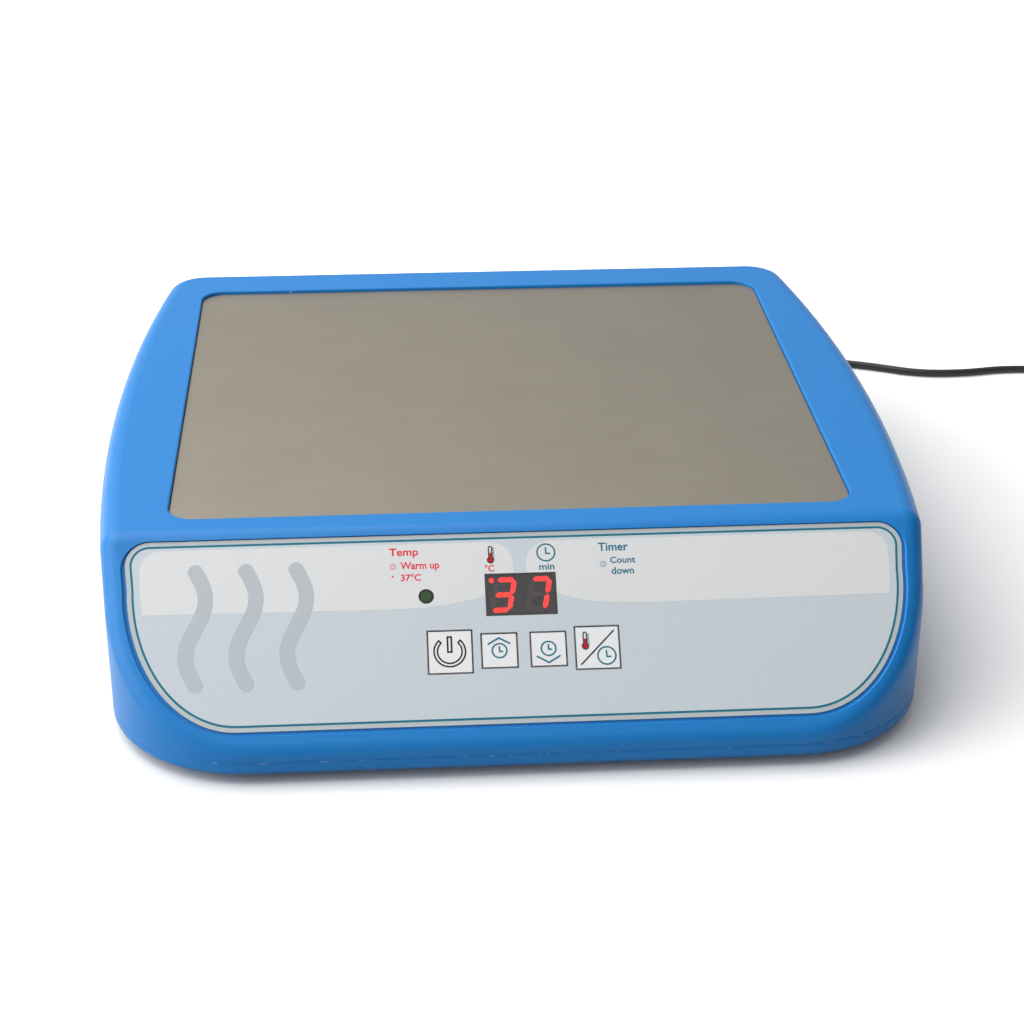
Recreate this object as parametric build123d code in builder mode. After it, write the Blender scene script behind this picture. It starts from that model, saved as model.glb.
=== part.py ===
from build123d import *
from math import ceil, cos, hypot, pi, radians, sin, sqrt, tan
import os

# A laboratory warming plate: a low blue casing on four feet, a square metal plate
# sunk in its top, a sloped control panel in front, and a thin lead from the rear.
# Millimetres. +Z up, +X right, the panel faces -Y. The origin is on the surface
# that it stands on, below the middle of the casing.

os.makedirs("parts", exist_ok=True)

# Casing
casing_half_width = 126.0
casing_half_length = 131.5
side_bow_radius = 750.0
front_corner_radius = 41.5
rear_corner_radius = 14.0
casing_top = 56.2
casing_wall = 2.5
crown_radius = 6.0
ridge_radius = 6.5
chin_height = 10.2
seam_chamfer = 0.15
fit_gap = 0.15

# Base and feet
foot_height = 3.0
foot_radius = 8.0
foot_seat_depth = 0.8
foot_chamfer = 0.75
base_thickness = 2.8
base_rim_height = 1.5
base_edge_radius = 2.0
base_lip_height = 1.3
base_lip_wall = 1.5
foot_end_inset = 21.5
foot_side_inset = 38.0

# Screws that hold the base to the cover
housing_front_screw_insets = (26.0, 41.5)
housing_rear_screw_insets = (30.0, 12.0)
housing_boss_radius = 4.0
housing_head_radius = 2.8
housing_head_height = 2.0
housing_head_sink = 3.0
housing_screw_radius = 1.5
housing_screw_bite = 9.0
screw_tip_gap = 1.0
base_boss_height = 6.2

# Heated plate and what lies under it
plate_sink = 1.2
side_rim = 23.5
front_rim = 9.3
rear_rim = 20.3
opening_corner_radius = 8.0
opening_edge_radius = 0.6
plate_gap = 0.15
plate_edge_radius = 0.2
flange_width = 4.3
flange_thickness = 2.2
gasket_thickness = 0.5
spreader_side_inset = 2.5
spreader_end_inset = 3.2
spreader_thickness = 3.0
heater_thickness = 1.5
insulation_thickness = 8.0
tray_sheet = 1.0
tray_gap = 0.5
tray_ear_width = 10.0
clamp_boss_gap = 1.2
clamp_row_inset = 27.0
clamp_boss_radius = 3.5
clamp_screw_radius = 1.5
clamp_screw_length = 8.0
clamp_head_radius = 2.8
clamp_head_height = 1.8
clamp_boss_length = 9.7

# Sensor in the spreader and cutout below it
sensor_side_inset = 52.0
sensor_radius = 1.1
sensor_length = 20.0
cutout_insets = (40.0, 24.0)
cutout_radius = 7.5
cutout_height = 5.0
cutout_hole_radius = 9.0
cutout_tab_spacing = 6.0
cutout_tab_thickness = 1.0
cutout_tab_width = 4.0
cutout_tab_length = 6.0
tray_lead_hole_radius = 6.0

# Sloped panel
panel_tilt = 43.0
panel_sink = 0.4
overlay_thickness = 0.5
overlay_gap = 1.0
overlay_top_gap = 0.2
overlay_top = 1.5
overlay_top_corner_radius = 7.0
overlay_front_corner_radius = 31.5
overlay_side_inset = 6.8
overlay_front_inset = 4.9

# Display and lamp, placed by x and by distance down the slope
display_place = (0.45, 20.5)
display_width = 20.8
display_height = 12.9
display_face_depth = 1.0
digit_spacing = 10.3
digit_width = 6.5
digit_height = 10.6
digit_slant = 11.5
segment_width = 1.5
segment_gap = 0.12
segment_relief = 0.25
dot_radius = 0.85
lamp_place = (-27.1, 20.4)
lamp_radius = 2.15
lamp_flange_radius = 2.6
lamp_flange_thickness = 1.0
lamp_lead_radius = 0.35
lamp_lead_spacing = 2.54
lamp_body_length = 5.5

# Keys, placed by x at one distance down the slope
key_row = 37.35
large_key = 13.0
small_key = 10.5
keys = {
    "power": (-20.8, large_key),
    "up": (-6.6, small_key),
    "down": (7.55, small_key),
    "mode": (21.7, large_key),
}
key_corner_radius = 0.4
key_gap = 0.15
key_guide_gap = 0.25
key_flange_reach = 0.8
key_flange_thickness = 0.8
key_stop_gap = 0.05
key_stem_radius = 1.7
switch_size = 6.0
switch_height = 3.5
switch_button_radius = 1.7
switch_button_reach = 1.3
switch_button_depth = 1.0
switch_bore_radius = 1.85
switch_bore_depth = 1.7

# Control board, its posts and what is soldered on its back
board_depth = 9.0
board_thickness = 1.6
board_width = 104.0
board_height = 46.0
board_row = 30.0
board_post_radius = 3.0
board_screw_inset = 4.0
board_screw_radius = 1.2
board_thread_gap = 0.05
board_screw_bite = 5.0
board_head_radius = 2.4
board_head_height = 1.6
chip_place = (-4.0, 42.0)
chip_size = 10.0
chip_height = 1.6
buzzer_place = (8.0, 20.0)
buzzer_radius = 6.0
buzzer_height = 7.5
capacitor_row = 18.0
capacitor_columns = [-24.0, -13.0]
capacitor_radius = 4.0
capacitor_height = 11.0
transistor_place = (34.0, 24.0)
transistor_width = 10.2
transistor_length = 15.0
transistor_height = 4.5
sink_width = 24.0
sink_length = 20.0
sink_base = 2.0
sink_height = 8.0
sink_fin = 1.2
sink_fins = 5
connector_column = -40.0
connector_rows = {"power": 18.0, "heater": 30.0, "sensor": 42.0}
connector_width = 12.0
connector_length = 6.0
connector_height = 6.5

# Power inlet in the rear wall and the wires inside
jack_x = 70.0
jack_height = 18.0
jack_flange_radius = 5.5
jack_flange_thickness = 1.0
jack_neck_radius = 4.0
jack_length = 14.0
jack_bore_radius = 2.85
jack_bore_depth = 10.5
jack_pin_radius = 1.0
jack_nut_radius = 6.0
jack_nut_thickness = 2.5
jack_tab_length = 4.0
jack_tab_spacing = 4.0
jack_tab_thickness = 0.8
jack_tab_width = 2.6
wire_radius = 0.8
wire_spacing = 3.0
wire_bend_radius = 2.6
power_lead_stub = 16.0
power_lead_fall = 20.0
power_lead_rise = 1.5
power_lead_turns = [(-20.0, 110.0), (44.0, 40.0)]
power_lead_climb = (18.0, 6.0)
power_lead_end = 8.0
heater_lead_stub = 12.0
heater_lead_side = 12.0
heater_lead_rise = 6.0
sensor_lead_stub = 6.0
sensor_lead_rise = 2.0
heater_lead_gap = 5.5

# Plug and lead
plug_radius = 5.25
plug_length = 22.0
plug_edge_radius = 1.0
plug_sleeve_radius = 2.75
plug_sleeve_bore = 1.2
plug_sleeve_length = 9.5
relief_length = 16.0
relief_wide_radius = 3.6
relief_narrow_radius = 2.2
cord_radius = 1.5
floor_line = cord_radius

# Route of the lead, from the strain relief to its coil, with its last point on the coil
cord_first_points = [
    (70.0, 183.0, 18.0),
    (76.0, 199.0, 11.5),
    (94.0, 209.5, 3.5),
    (111.0, 206.0, floor_line),
    (123.0, 192.0, floor_line),
    (131.0, 175.0, floor_line),
    (145.0, 159.5, floor_line),
    (163.0, 153.5, floor_line),
    (179.0, 145.5, floor_line),
    (198.0, 144.5, floor_line),
    (215.0, 147.8, floor_line),
    (233.0, 146.0, floor_line),
]
coil_entry_run = 16.0
coil_centre = (268.0, 124.0)
coil_outer_radius = 23.75
coil_pitch = 3.5
coil_turns_in = 4.0
coil_climb_turns = 0.5
coil_turns_out = 3.75
coil_steps_per_turn = 4
tie_width = 6.0
tie_thickness = 0.8
tie_gap = 0.4
tie_corner_radius = 1.6
tail_entry_run = 13.0
tail_middle_points = [
    (289.2, 96.0, 7.4),
    (287.0, 84.0, 11.0),
]

# Power adapter
adapter_centre_x = 287.0
adapter_rear_y = 60.0
adapter_depth = 31.0
adapter_length = 76.0
adapter_height = 44.0
adapter_edge_radius = 3.0
adapter_relief_length = 12.0
adapter_exit_height = 11.0
blade_spacing = 12.7
blade_width = 6.35
blade_thickness = 1.5
blade_length = 17.5

# The panel's own plane: its surface, with x to the right and y up the slope, as far back
# as its slope reaches the plate's level
tilt_sin = sin(radians(panel_tilt))
tilt_cos = cos(radians(panel_tilt))
plate_level = casing_top - plate_sink
panel_edge_y = (plate_level - chin_height) * tilt_cos / tilt_sin - casing_half_length
panel = Plane(
    origin=(0, panel_edge_y, plate_level),
    x_dir=(1, 0, 0),
    z_dir=(0, -tilt_sin, tilt_cos),
)

# Places and levels worked out from the sizes above
foot_y = casing_half_length - foot_end_inset
foot_x = casing_half_width - foot_side_inset
foot_places = {
    "front_left": (-foot_x, -foot_y),
    "front_right": (foot_x, -foot_y),
    "rear_left": (-foot_x, foot_y),
    "rear_right": (foot_x, foot_y),
}
housing_screw_places = [
    (side * (casing_half_width - side_inset), end * (casing_half_length - end_inset))
    for end, (side_inset, end_inset) in (
        (-1, housing_front_screw_insets),
        (1, housing_rear_screw_insets),
    )
    for side in (-1, 1)
]
opening_front_y = panel_edge_y + front_rim
opening_width = 2 * (casing_half_width - side_rim)
opening_length = casing_half_length - rear_rim - opening_front_y
plate_centre_y = opening_front_y + opening_length / 2
spreader_width = opening_width - 2 * spreader_side_inset
spreader_length = opening_length - 2 * spreader_end_inset
base_top = foot_height + base_thickness
seam_level = base_top + base_rim_height
base_boss_top = base_top + base_boss_height
cover_underside = casing_top - casing_wall
flange_top = cover_underside - gasket_thickness
flange_underside = flange_top - flange_thickness
spreader_underside = flange_underside - spreader_thickness
heater_underside = spreader_underside - heater_thickness
insulation_underside = heater_underside - insulation_thickness
clamp_level = cover_underside - clamp_boss_length
clamp_screw_x = opening_width / 2 + flange_width + clamp_boss_gap + clamp_boss_radius
clamp_row_reach = opening_length / 2 - clamp_row_inset
clamp_screw_places = [
    (side * clamp_screw_x, plate_centre_y + row * clamp_row_reach)
    for side in (-1, 1)
    for row in (-1, 0, 1)
]
spreader_front_y = plate_centre_y - spreader_length / 2
sensor_x = sensor_side_inset - spreader_width / 2
cutout_place = (cutout_insets[0] - spreader_width / 2, cutout_insets[1] + spreader_front_y)
panel_wall_back = casing_wall - panel_sink
bed_edge_reach = 2 * panel_sink
board_back = board_depth + board_thickness
key_flange_top = panel_wall_back + key_stop_gap
switch_top = board_depth - switch_height
switch_button_top = switch_top - switch_button_reach
board_screw_x = board_width / 2 - board_screw_inset
board_screw_rows = [board_row + end * (board_height / 2 - board_screw_inset) for end in (-1, 1)]
board_screw_places = [(side * board_screw_x, -row) for side in (-1, 1) for row in board_screw_rows]


def slope_height(y, depth):
    """Height of the panel's plane, moved in by depth, at a distance y along the casing."""
    return plate_level + ((y - panel_edge_y) * tilt_sin - depth) / tilt_cos


def slope_length(z, depth):
    """Place along the casing where the panel's plane, moved in by depth, reaches a height."""
    return panel_edge_y + ((z - plate_level) * tilt_cos + depth) / tilt_sin


def side_half_width(y, inset):
    """Half width between the bowed sides, moved in by inset."""
    radius = side_bow_radius - inset
    return casing_half_width - side_bow_radius + sqrt(radius**2 - y**2)


def draw_casing_outline(inset):
    """The casing seen from above, moved in by inset."""
    end_y = casing_half_length - inset
    end_x = side_half_width(end_y, inset)
    middle_x = casing_half_width - inset
    with BuildLine() as sides:
        ThreePointArc((end_x, -end_y), (middle_x, 0), (end_x, end_y))
        Line((end_x, end_y), (-end_x, end_y))
        ThreePointArc((-end_x, end_y), (-middle_x, 0), (-end_x, -end_y))
        Line((-end_x, -end_y), (end_x, -end_y))
    outline = make_face(sides.edges())
    outline = fillet(outline.vertices().group_by(Axis.Y)[0], front_corner_radius - inset)
    fillet(outline.vertices().group_by(Axis.Y)[-1], rear_corner_radius - inset)


def casing_form(inset, bottom):
    """The whole casing as one closed form with a rounded crown, moved in by inset."""
    front_y = inset - casing_half_length
    top = casing_top - inset
    depth = inset - panel_sink
    with BuildPart() as form:
        with BuildSketch(Plane.XY.offset(bottom)):
            draw_casing_outline(inset)
        extrude(amount=top - bottom)
        with BuildSketch(Plane.YZ) as profile:
            with BuildLine():
                Polyline(
                    (front_y, bottom),
                    (front_y, slope_height(front_y, depth)),
                    (slope_length(top, depth), top),
                    (-front_y, top),
                    (-front_y, bottom),
                    close=True,
                )
            make_face()
            ridge = profile.vertices().sort_by(Axis.Y)[-2:].sort_by(Axis.X)[0]
            fillet(ridge, ridge_radius - inset)
        extrude(amount=casing_half_width, both=True, mode=Mode.INTERSECT)
        upper_edges = [e for f in form.faces() if f.normal_at().Z > 0.1 for e in f.edges()]
        crown = [e for e in upper_edges if sum(e.is_same(other) for other in upper_edges) == 1]
        fillet(crown, crown_radius - inset)
    return form.part


def draw_overlay_outline(grow, top_grow):
    """The panel's overlay on its own plane, made larger by grow, and at its top by top_grow."""
    corner_y = overlay_front_inset + overlay_front_corner_radius - casing_half_length
    corner_x = side_half_width(corner_y, overlay_side_inset) - overlay_front_corner_radius
    corner_row = (panel_edge_y - corner_y) / tilt_cos
    across = overlay_front_corner_radius + grow
    down = overlay_front_corner_radius / tilt_cos + grow
    top_row = overlay_top - top_grow
    top_x = side_half_width(panel_edge_y - top_row * tilt_cos, overlay_side_inset - grow)
    with BuildLine() as sides:
        Line((-corner_x, -corner_row - down), (corner_x, -corner_row - down))
        EllipticalCenterArc((corner_x, -corner_row), across, down, 270, arc_size=90)
        Polyline(
            (corner_x + across, -corner_row),
            (top_x, -top_row),
            (-top_x, -top_row),
            (-corner_x - across, -corner_row),
        )
        EllipticalCenterArc((-corner_x, -corner_row), across, down, 180, arc_size=90)
    outline = make_face(sides.edges())
    fillet(outline.vertices().group_by(Axis.Y)[-1], overlay_top_corner_radius + grow)


def cord_radii(points):
    """A radius for each corner of a route, as large as its two runs allow."""
    radii = []
    for before, corner, after in zip(points, points[1:], points[2:]):
        run_in = Vector(*corner) - Vector(*before)
        run_out = Vector(*after) - Vector(*corner)
        half_turn = radians(run_in.get_angle(run_out)) / 2
        radii.append(0.45 * min(run_in.length, run_out.length) / tan(half_turn))
    return radii


def draw_tube(points, radius, bends):
    """A round tube along straight runs joined by tangent arcs."""
    with BuildLine():
        route = FilletPolyline(*points, radius=bends)
    with BuildSketch(Plane(origin=route @ 0, z_dir=route % 0)) as section:
        Circle(radius)
    sweep(section.sketch, path=route)
    return route.length


def panel_point(x, row, depth):
    """A point behind the panel, by x, distance down the slope and depth."""
    return panel.from_local_coords(Vector(x, -row, -depth))


# Casing hollow, with the columns for the clamp, the base and the board left standing
with BuildPart() as casing_hollow:
    add(casing_form(casing_wall, 0))
    with BuildSketch(Plane.XY.offset(clamp_level)):
        with Locations(*clamp_screw_places):
            Circle(clamp_boss_radius)
    extrude(amount=casing_top, mode=Mode.SUBTRACT)
    with BuildSketch(Plane.XY.offset(base_boss_top)):
        with Locations(*housing_screw_places):
            Circle(housing_boss_radius)
    extrude(amount=casing_top, mode=Mode.SUBTRACT)
    with BuildSketch(panel.offset(-board_depth)):
        with Locations(*board_screw_places):
            Circle(board_post_radius)
    extrude(amount=board_depth, mode=Mode.SUBTRACT)

# Rear wall plane at the power inlet, facing out
inlet = Plane(
    origin=(jack_x, casing_half_length, jack_height),
    x_dir=(-1, 0, 0),
    z_dir=(0, 1, 0),
)

# Top cover
with BuildPart() as top_cover:
    add(casing_form(0, seam_level))
    add(casing_hollow.part, mode=Mode.SUBTRACT)
    with BuildSketch(Plane.XY.offset(casing_top)):
        with Locations((0, plate_centre_y)):
            RectangleRounded(opening_width, opening_length, opening_corner_radius)
    extrude(amount=-2 * casing_wall, mode=Mode.SUBTRACT)
    with BuildSketch(Plane.XY.offset(clamp_level)):
        with Locations(*clamp_screw_places):
            Circle(clamp_screw_radius)
    extrude(amount=clamp_screw_length, mode=Mode.SUBTRACT)
    with BuildSketch(Plane.XY.offset(base_boss_top)):
        with Locations(*housing_screw_places):
            Circle(housing_screw_radius)
    extrude(amount=housing_screw_bite + screw_tip_gap, mode=Mode.SUBTRACT)
    with BuildSketch(panel.offset(-board_depth)):
        with Locations(*board_screw_places):
            Circle(board_screw_radius + board_thread_gap)
    extrude(amount=board_screw_bite + fit_gap, mode=Mode.SUBTRACT)
    with BuildSketch(panel.offset(-overlay_thickness)):
        draw_overlay_outline(overlay_gap, overlay_top_gap)
    extrude(amount=overlay_thickness, mode=Mode.SUBTRACT)
    with BuildSketch(panel):
        draw_overlay_outline(overlay_gap, overlay_top_gap)
    with BuildSketch(panel.offset(bed_edge_reach)):
        draw_overlay_outline(overlay_gap + bed_edge_reach, overlay_top_gap)
    loft(ruled=True, mode=Mode.SUBTRACT)
    with BuildSketch(panel):
        with Locations((display_place[0], -display_place[1])):
            Rectangle(display_width + 2 * fit_gap, display_height + 2 * fit_gap)
        with Locations((lamp_place[0], -lamp_place[1])):
            Circle(lamp_radius + fit_gap)
        for key_x, key_size in keys.values():
            with Locations((key_x, -key_row)):
                RectangleRounded(
                    key_size + 2 * key_guide_gap,
                    key_size + 2 * key_guide_gap,
                    key_corner_radius,
                )
    extrude(amount=-2 * casing_wall, mode=Mode.SUBTRACT)
    with BuildSketch(inlet):
        Circle(jack_neck_radius + fit_gap)
    extrude(amount=-2 * casing_wall, mode=Mode.SUBTRACT)
    with BuildSketch(inlet):
        Circle(jack_flange_radius + fit_gap)
    extrude(amount=-jack_flange_thickness, mode=Mode.SUBTRACT)
    top_face = top_cover.faces().filter_by(Plane.XY).sort_by(Axis.Z)[-1]
    fillet(top_face.inner_wires()[0].edges(), opening_edge_radius)
    seam_face = top_cover.faces().filter_by(Plane.XY).sort_by(Axis.Z)[0]
    chamfer(seam_face.outer_wire().edges(), seam_chamfer)
top_cover.part.label = "top_cover"
export_step(top_cover.part, "parts/top_cover.step")

# Base pan
with BuildPart() as base_pan:
    with BuildSketch(Plane.XY.offset(foot_height)):
        draw_casing_outline(0)
    extrude(amount=base_thickness + base_rim_height)
    fillet(base_pan.edges().group_by(Axis.Z)[0], base_edge_radius)
    chamfer(base_pan.edges().group_by(Axis.Z)[-1], seam_chamfer)
    with BuildSketch(Plane.XY.offset(base_top)):
        draw_casing_outline(casing_wall + fit_gap)
    extrude(amount=base_rim_height + base_lip_height)
    with BuildSketch(Plane.XY.offset(base_top)):
        draw_casing_outline(casing_wall + fit_gap + base_lip_wall)
    extrude(amount=base_rim_height + base_lip_height, mode=Mode.SUBTRACT)
    with BuildSketch(Plane.XY.offset(base_top)):
        with Locations(*housing_screw_places):
            Circle(housing_boss_radius)
    extrude(amount=base_boss_height)
    with BuildSketch(Plane.XY.offset(foot_height)):
        with Locations(*housing_screw_places):
            Circle(housing_screw_radius + fit_gap)
    extrude(amount=base_thickness + base_boss_height, mode=Mode.SUBTRACT)
    with BuildSketch(Plane.XY.offset(foot_height)):
        with Locations(*housing_screw_places):
            Circle(housing_head_radius + fit_gap)
    extrude(amount=housing_head_sink + housing_head_height, mode=Mode.SUBTRACT)
    with BuildSketch(Plane.XY.offset(foot_height)):
        with Locations(*foot_places.values()):
            Circle(foot_radius + fit_gap)
    extrude(amount=foot_seat_depth, mode=Mode.SUBTRACT)
base_pan.part.label = "base_pan"
export_step(base_pan.part, "parts/base_pan.step")

# Four rubber feet
for foot_name, foot_place in foot_places.items():
    with BuildPart() as foot:
        with BuildSketch():
            with Locations(foot_place):
                Circle(foot_radius)
        extrude(amount=foot_height + foot_seat_depth)
        chamfer(foot.edges().group_by(Axis.Z)[0], foot_chamfer)
    foot.part.label = f"foot_{foot_name}"
    export_step(foot.part, f"parts/{foot.part.label}.step")

# Screws through the base into the cover's columns
with BuildPart() as housing_screws:
    head_top = foot_height + housing_head_sink + housing_head_height
    with BuildSketch(Plane.XY.offset(head_top)):
        with Locations(*housing_screw_places):
            Circle(housing_head_radius)
    extrude(amount=-housing_head_height)
    with BuildSketch(Plane.XY.offset(head_top)):
        with Locations(*housing_screw_places):
            Circle(housing_screw_radius)
    extrude(amount=base_boss_top + housing_screw_bite - head_top)
housing_screws.part.label = "housing_screws"
export_step(housing_screws.part, "parts/housing_screws.step")

# Heated plate: a wide flange below the cover and a raised pad that fills the opening
pad_width = opening_width - 2 * plate_gap
pad_length = opening_length - 2 * plate_gap
flange_size = (opening_width + 2 * flange_width, opening_length + 2 * flange_width)
with BuildPart() as heating_plate:
    with BuildSketch(Plane.XY.offset(flange_underside)):
        with Locations((0, plate_centre_y)):
            RectangleRounded(*flange_size, opening_corner_radius + flange_width)
    extrude(amount=flange_thickness)
    with BuildSketch(Plane.XY.offset(flange_top)):
        with Locations((0, plate_centre_y)):
            RectangleRounded(pad_width, pad_length, opening_corner_radius - plate_gap)
    extrude(amount=plate_level - flange_top)
    fillet(heating_plate.edges().group_by(Axis.Z)[-1], plate_edge_radius)
heating_plate.part.label = "heating_plate"
export_step(heating_plate.part, "parts/heating_plate.step")

# Gasket between the plate's flange and the cover
with BuildPart() as plate_gasket:
    with BuildSketch(Plane.XY.offset(flange_top)):
        with Locations((0, plate_centre_y)):
            RectangleRounded(*flange_size, opening_corner_radius + flange_width)
            RectangleRounded(
                opening_width, opening_length, opening_corner_radius, mode=Mode.SUBTRACT
            )
    extrude(amount=gasket_thickness)
plate_gasket.part.label = "plate_gasket"
export_step(plate_gasket.part, "parts/plate_gasket.step")

# Aluminium spreader, bored from its front edge for the sensor
spreader_middle = spreader_underside + spreader_thickness / 2
sensor_bore = Plane(
    origin=(sensor_x, spreader_front_y, spreader_middle), x_dir=(1, 0, 0), z_dir=(0, -1, 0)
)
with BuildPart() as heat_spreader:
    with BuildSketch(Plane.XY.offset(spreader_underside)):
        with Locations((0, plate_centre_y)):
            Rectangle(spreader_width, spreader_length)
    extrude(amount=spreader_thickness)
    with BuildSketch(sensor_bore):
        Circle(sensor_radius + fit_gap)
    extrude(amount=-sensor_length - fit_gap, mode=Mode.SUBTRACT)
heat_spreader.part.label = "heat_spreader"
export_step(heat_spreader.part, "parts/heat_spreader.step")

# Temperature sensor in that bore
with BuildPart() as temperature_sensor:
    with BuildSketch(sensor_bore):
        Circle(sensor_radius)
    extrude(amount=-sensor_length)
temperature_sensor.part.label = "temperature_sensor"
export_step(temperature_sensor.part, "parts/temperature_sensor.step")

# Foil heater, with a hole for the cutout
with BuildPart() as foil_heater:
    with BuildSketch(Plane.XY.offset(heater_underside)):
        with Locations((0, plate_centre_y)):
            Rectangle(spreader_width, spreader_length)
        with Locations(cutout_place):
            Circle(cutout_hole_radius, mode=Mode.SUBTRACT)
    extrude(amount=heater_thickness)
foil_heater.part.label = "foil_heater"
export_step(foil_heater.part, "parts/foil_heater.step")

# Insulation under the heater
with BuildPart() as insulation_pad:
    with BuildSketch(Plane.XY.offset(insulation_underside)):
        with Locations((0, plate_centre_y)):
            Rectangle(spreader_width, spreader_length)
        with Locations(cutout_place):
            Circle(cutout_hole_radius, mode=Mode.SUBTRACT)
    extrude(amount=insulation_thickness)
insulation_pad.part.label = "insulation_pad"
export_step(insulation_pad.part, "parts/insulation_pad.step")

# Sheet tray that clamps the stack up against the cover, with six ears
tray_width = spreader_width + 2 * tray_gap
tray_length = spreader_length + 2 * tray_gap
tray_floor = insulation_underside - tray_sheet
with BuildPart() as heater_tray:
    with BuildSketch(Plane.XY.offset(tray_floor)):
        with Locations((0, plate_centre_y)):
            Rectangle(tray_width + 2 * tray_sheet, tray_length + 2 * tray_sheet)
    extrude(amount=clamp_level - tray_floor)
    with BuildSketch(Plane.XY.offset(insulation_underside)):
        with Locations((0, plate_centre_y)):
            Rectangle(tray_width, tray_length)
    extrude(amount=clamp_level - insulation_underside, mode=Mode.SUBTRACT)
    with BuildSketch(Plane.XY.offset(clamp_level - tray_sheet)):
        for screw_x, screw_y in clamp_screw_places:
            side = 1 if screw_x > 0 else -1
            ear_start = tray_width / 2
            ear_end = clamp_screw_x + clamp_boss_radius
            with Locations((side * (ear_start + ear_end) / 2, screw_y)):
                Rectangle(ear_end - ear_start, tray_ear_width)
    extrude(amount=tray_sheet)
    with BuildSketch(Plane.XY.offset(clamp_level)):
        with Locations(*clamp_screw_places):
            Circle(clamp_screw_radius + fit_gap)
    extrude(amount=-tray_sheet, mode=Mode.SUBTRACT)
    with BuildSketch(Plane.XY.offset(tray_floor)):
        with Locations(cutout_place):
            Circle(tray_lead_hole_radius)
    extrude(amount=tray_sheet, mode=Mode.SUBTRACT)
heater_tray.part.label = "heater_tray"
export_step(heater_tray.part, "parts/heater_tray.step")

# Screws through the tray's ears
with BuildPart() as tray_screws:
    with BuildSketch(Plane.XY.offset(clamp_level - tray_sheet)):
        with Locations(*clamp_screw_places):
            Circle(clamp_head_radius)
    extrude(amount=-clamp_head_height)
    with BuildSketch(Plane.XY.offset(clamp_level - tray_sheet)):
        with Locations(*clamp_screw_places):
            Circle(clamp_screw_radius)
    extrude(amount=clamp_screw_length)
tray_screws.part.label = "tray_screws"
export_step(tray_screws.part, "parts/tray_screws.step")

# Thermal cutout against the spreader, with two tabs that point down
cutout_bottom = spreader_underside - cutout_height
with BuildPart() as thermal_cutout:
    with BuildSketch(Plane.XY.offset(cutout_bottom)):
        with Locations(cutout_place):
            Circle(cutout_radius)
    extrude(amount=cutout_height)
    with BuildSketch(Plane.XY.offset(cutout_bottom)):
        with Locations(cutout_place):
            with Locations((-cutout_tab_spacing / 2, 0), (cutout_tab_spacing / 2, 0)):
                Rectangle(cutout_tab_thickness, cutout_tab_width)
    extrude(amount=-cutout_tab_length)
thermal_cutout.part.label = "thermal_cutout"
export_step(thermal_cutout.part, "parts/thermal_cutout.step")

# Printed overlay on the slope, with openings for the keys, the display and the lamp
with BuildPart() as panel_overlay:
    with BuildSketch(panel.offset(-overlay_thickness)):
        draw_overlay_outline(0, 0)
        with Locations((display_place[0], -display_place[1])):
            Rectangle(display_width, display_height, mode=Mode.SUBTRACT)
        with Locations((lamp_place[0], -lamp_place[1])):
            Circle(lamp_radius, mode=Mode.SUBTRACT)
        for key_x, key_size in keys.values():
            with Locations((key_x, -key_row)):
                RectangleRounded(
                    key_size + 2 * key_gap,
                    key_size + 2 * key_gap,
                    key_corner_radius,
                    mode=Mode.SUBTRACT,
                )
    extrude(amount=overlay_thickness)
panel_overlay.part.label = "panel_overlay"
export_step(panel_overlay.part, "parts/panel_overlay.step")

# Clear window over the display
with BuildPart() as display_window:
    with BuildSketch(panel.offset(-overlay_thickness)):
        with Locations((display_place[0], -display_place[1])):
            Rectangle(display_width, display_height)
    extrude(amount=overlay_thickness)
display_window.part.label = "display_window"
export_step(display_window.part, "parts/display_window.step")

# Display module on the board
with BuildPart() as display_module:
    with BuildSketch(panel.offset(-board_depth)):
        with Locations((display_place[0], -display_place[1])):
            Rectangle(display_width, display_height)
    extrude(amount=board_depth - display_face_depth)
display_module.part.label = "display_module"
export_step(display_module.part, "parts/display_module.step")


def draw_segment(start, end):
    """One six-sided bar of a digit between two places, slanted with the digit."""
    along = (Vector(*end) - Vector(*start)).normalized()
    across = Vector(-along.Y, along.X) * segment_width / 2
    inner_start = Vector(*start) + along * segment_gap
    inner_end = Vector(*end) - along * segment_gap
    neck = along * segment_width / 2
    corners = [
        inner_start,
        inner_start + neck + across,
        inner_end - neck + across,
        inner_end,
        inner_end - neck - across,
        inner_start + neck - across,
    ]
    slant = tan(radians(digit_slant))
    with BuildLine() as edge:
        Polyline(*[(c.X + slant * c.Y, c.Y) for c in corners], close=True)
    make_face(edge.edges())


# The bars of the two digits, and one dot
bar_x = digit_width / 2 - segment_width / 2
bar_y = digit_height / 2 - segment_width / 2
digit_bars = [
    ((-bar_x, bar_y), (bar_x, bar_y)),
    ((-bar_x, 0), (bar_x, 0)),
    ((-bar_x, -bar_y), (bar_x, -bar_y)),
    ((-bar_x, 0), (-bar_x, bar_y)),
    ((bar_x, 0), (bar_x, bar_y)),
    ((-bar_x, -bar_y), (-bar_x, 0)),
    ((bar_x, -bar_y), (bar_x, 0)),
]
with BuildPart() as display_segments:
    for digit_side in (-1, 1):
        digit_x = display_place[0] + digit_side * digit_spacing / 2
        digit_plane = panel.offset(-display_face_depth).shift_origin(
            panel_point(digit_x, display_place[1], display_face_depth)
        )
        for bar_start, bar_end in digit_bars:
            with BuildSketch(digit_plane):
                draw_segment(bar_start, bar_end)
            extrude(amount=segment_relief)
    with BuildSketch(panel.offset(-display_face_depth)):
        dot_rise = digit_height / 2 - dot_radius
        dot_lean = tan(radians(digit_slant)) * dot_rise
        dot_x = display_place[0] - (digit_spacing + digit_width) / 2 - dot_radius + dot_lean
        dot_y = dot_rise - display_place[1]
        with Locations((dot_x, dot_y)):
            Circle(dot_radius)
    extrude(amount=segment_relief)
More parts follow.
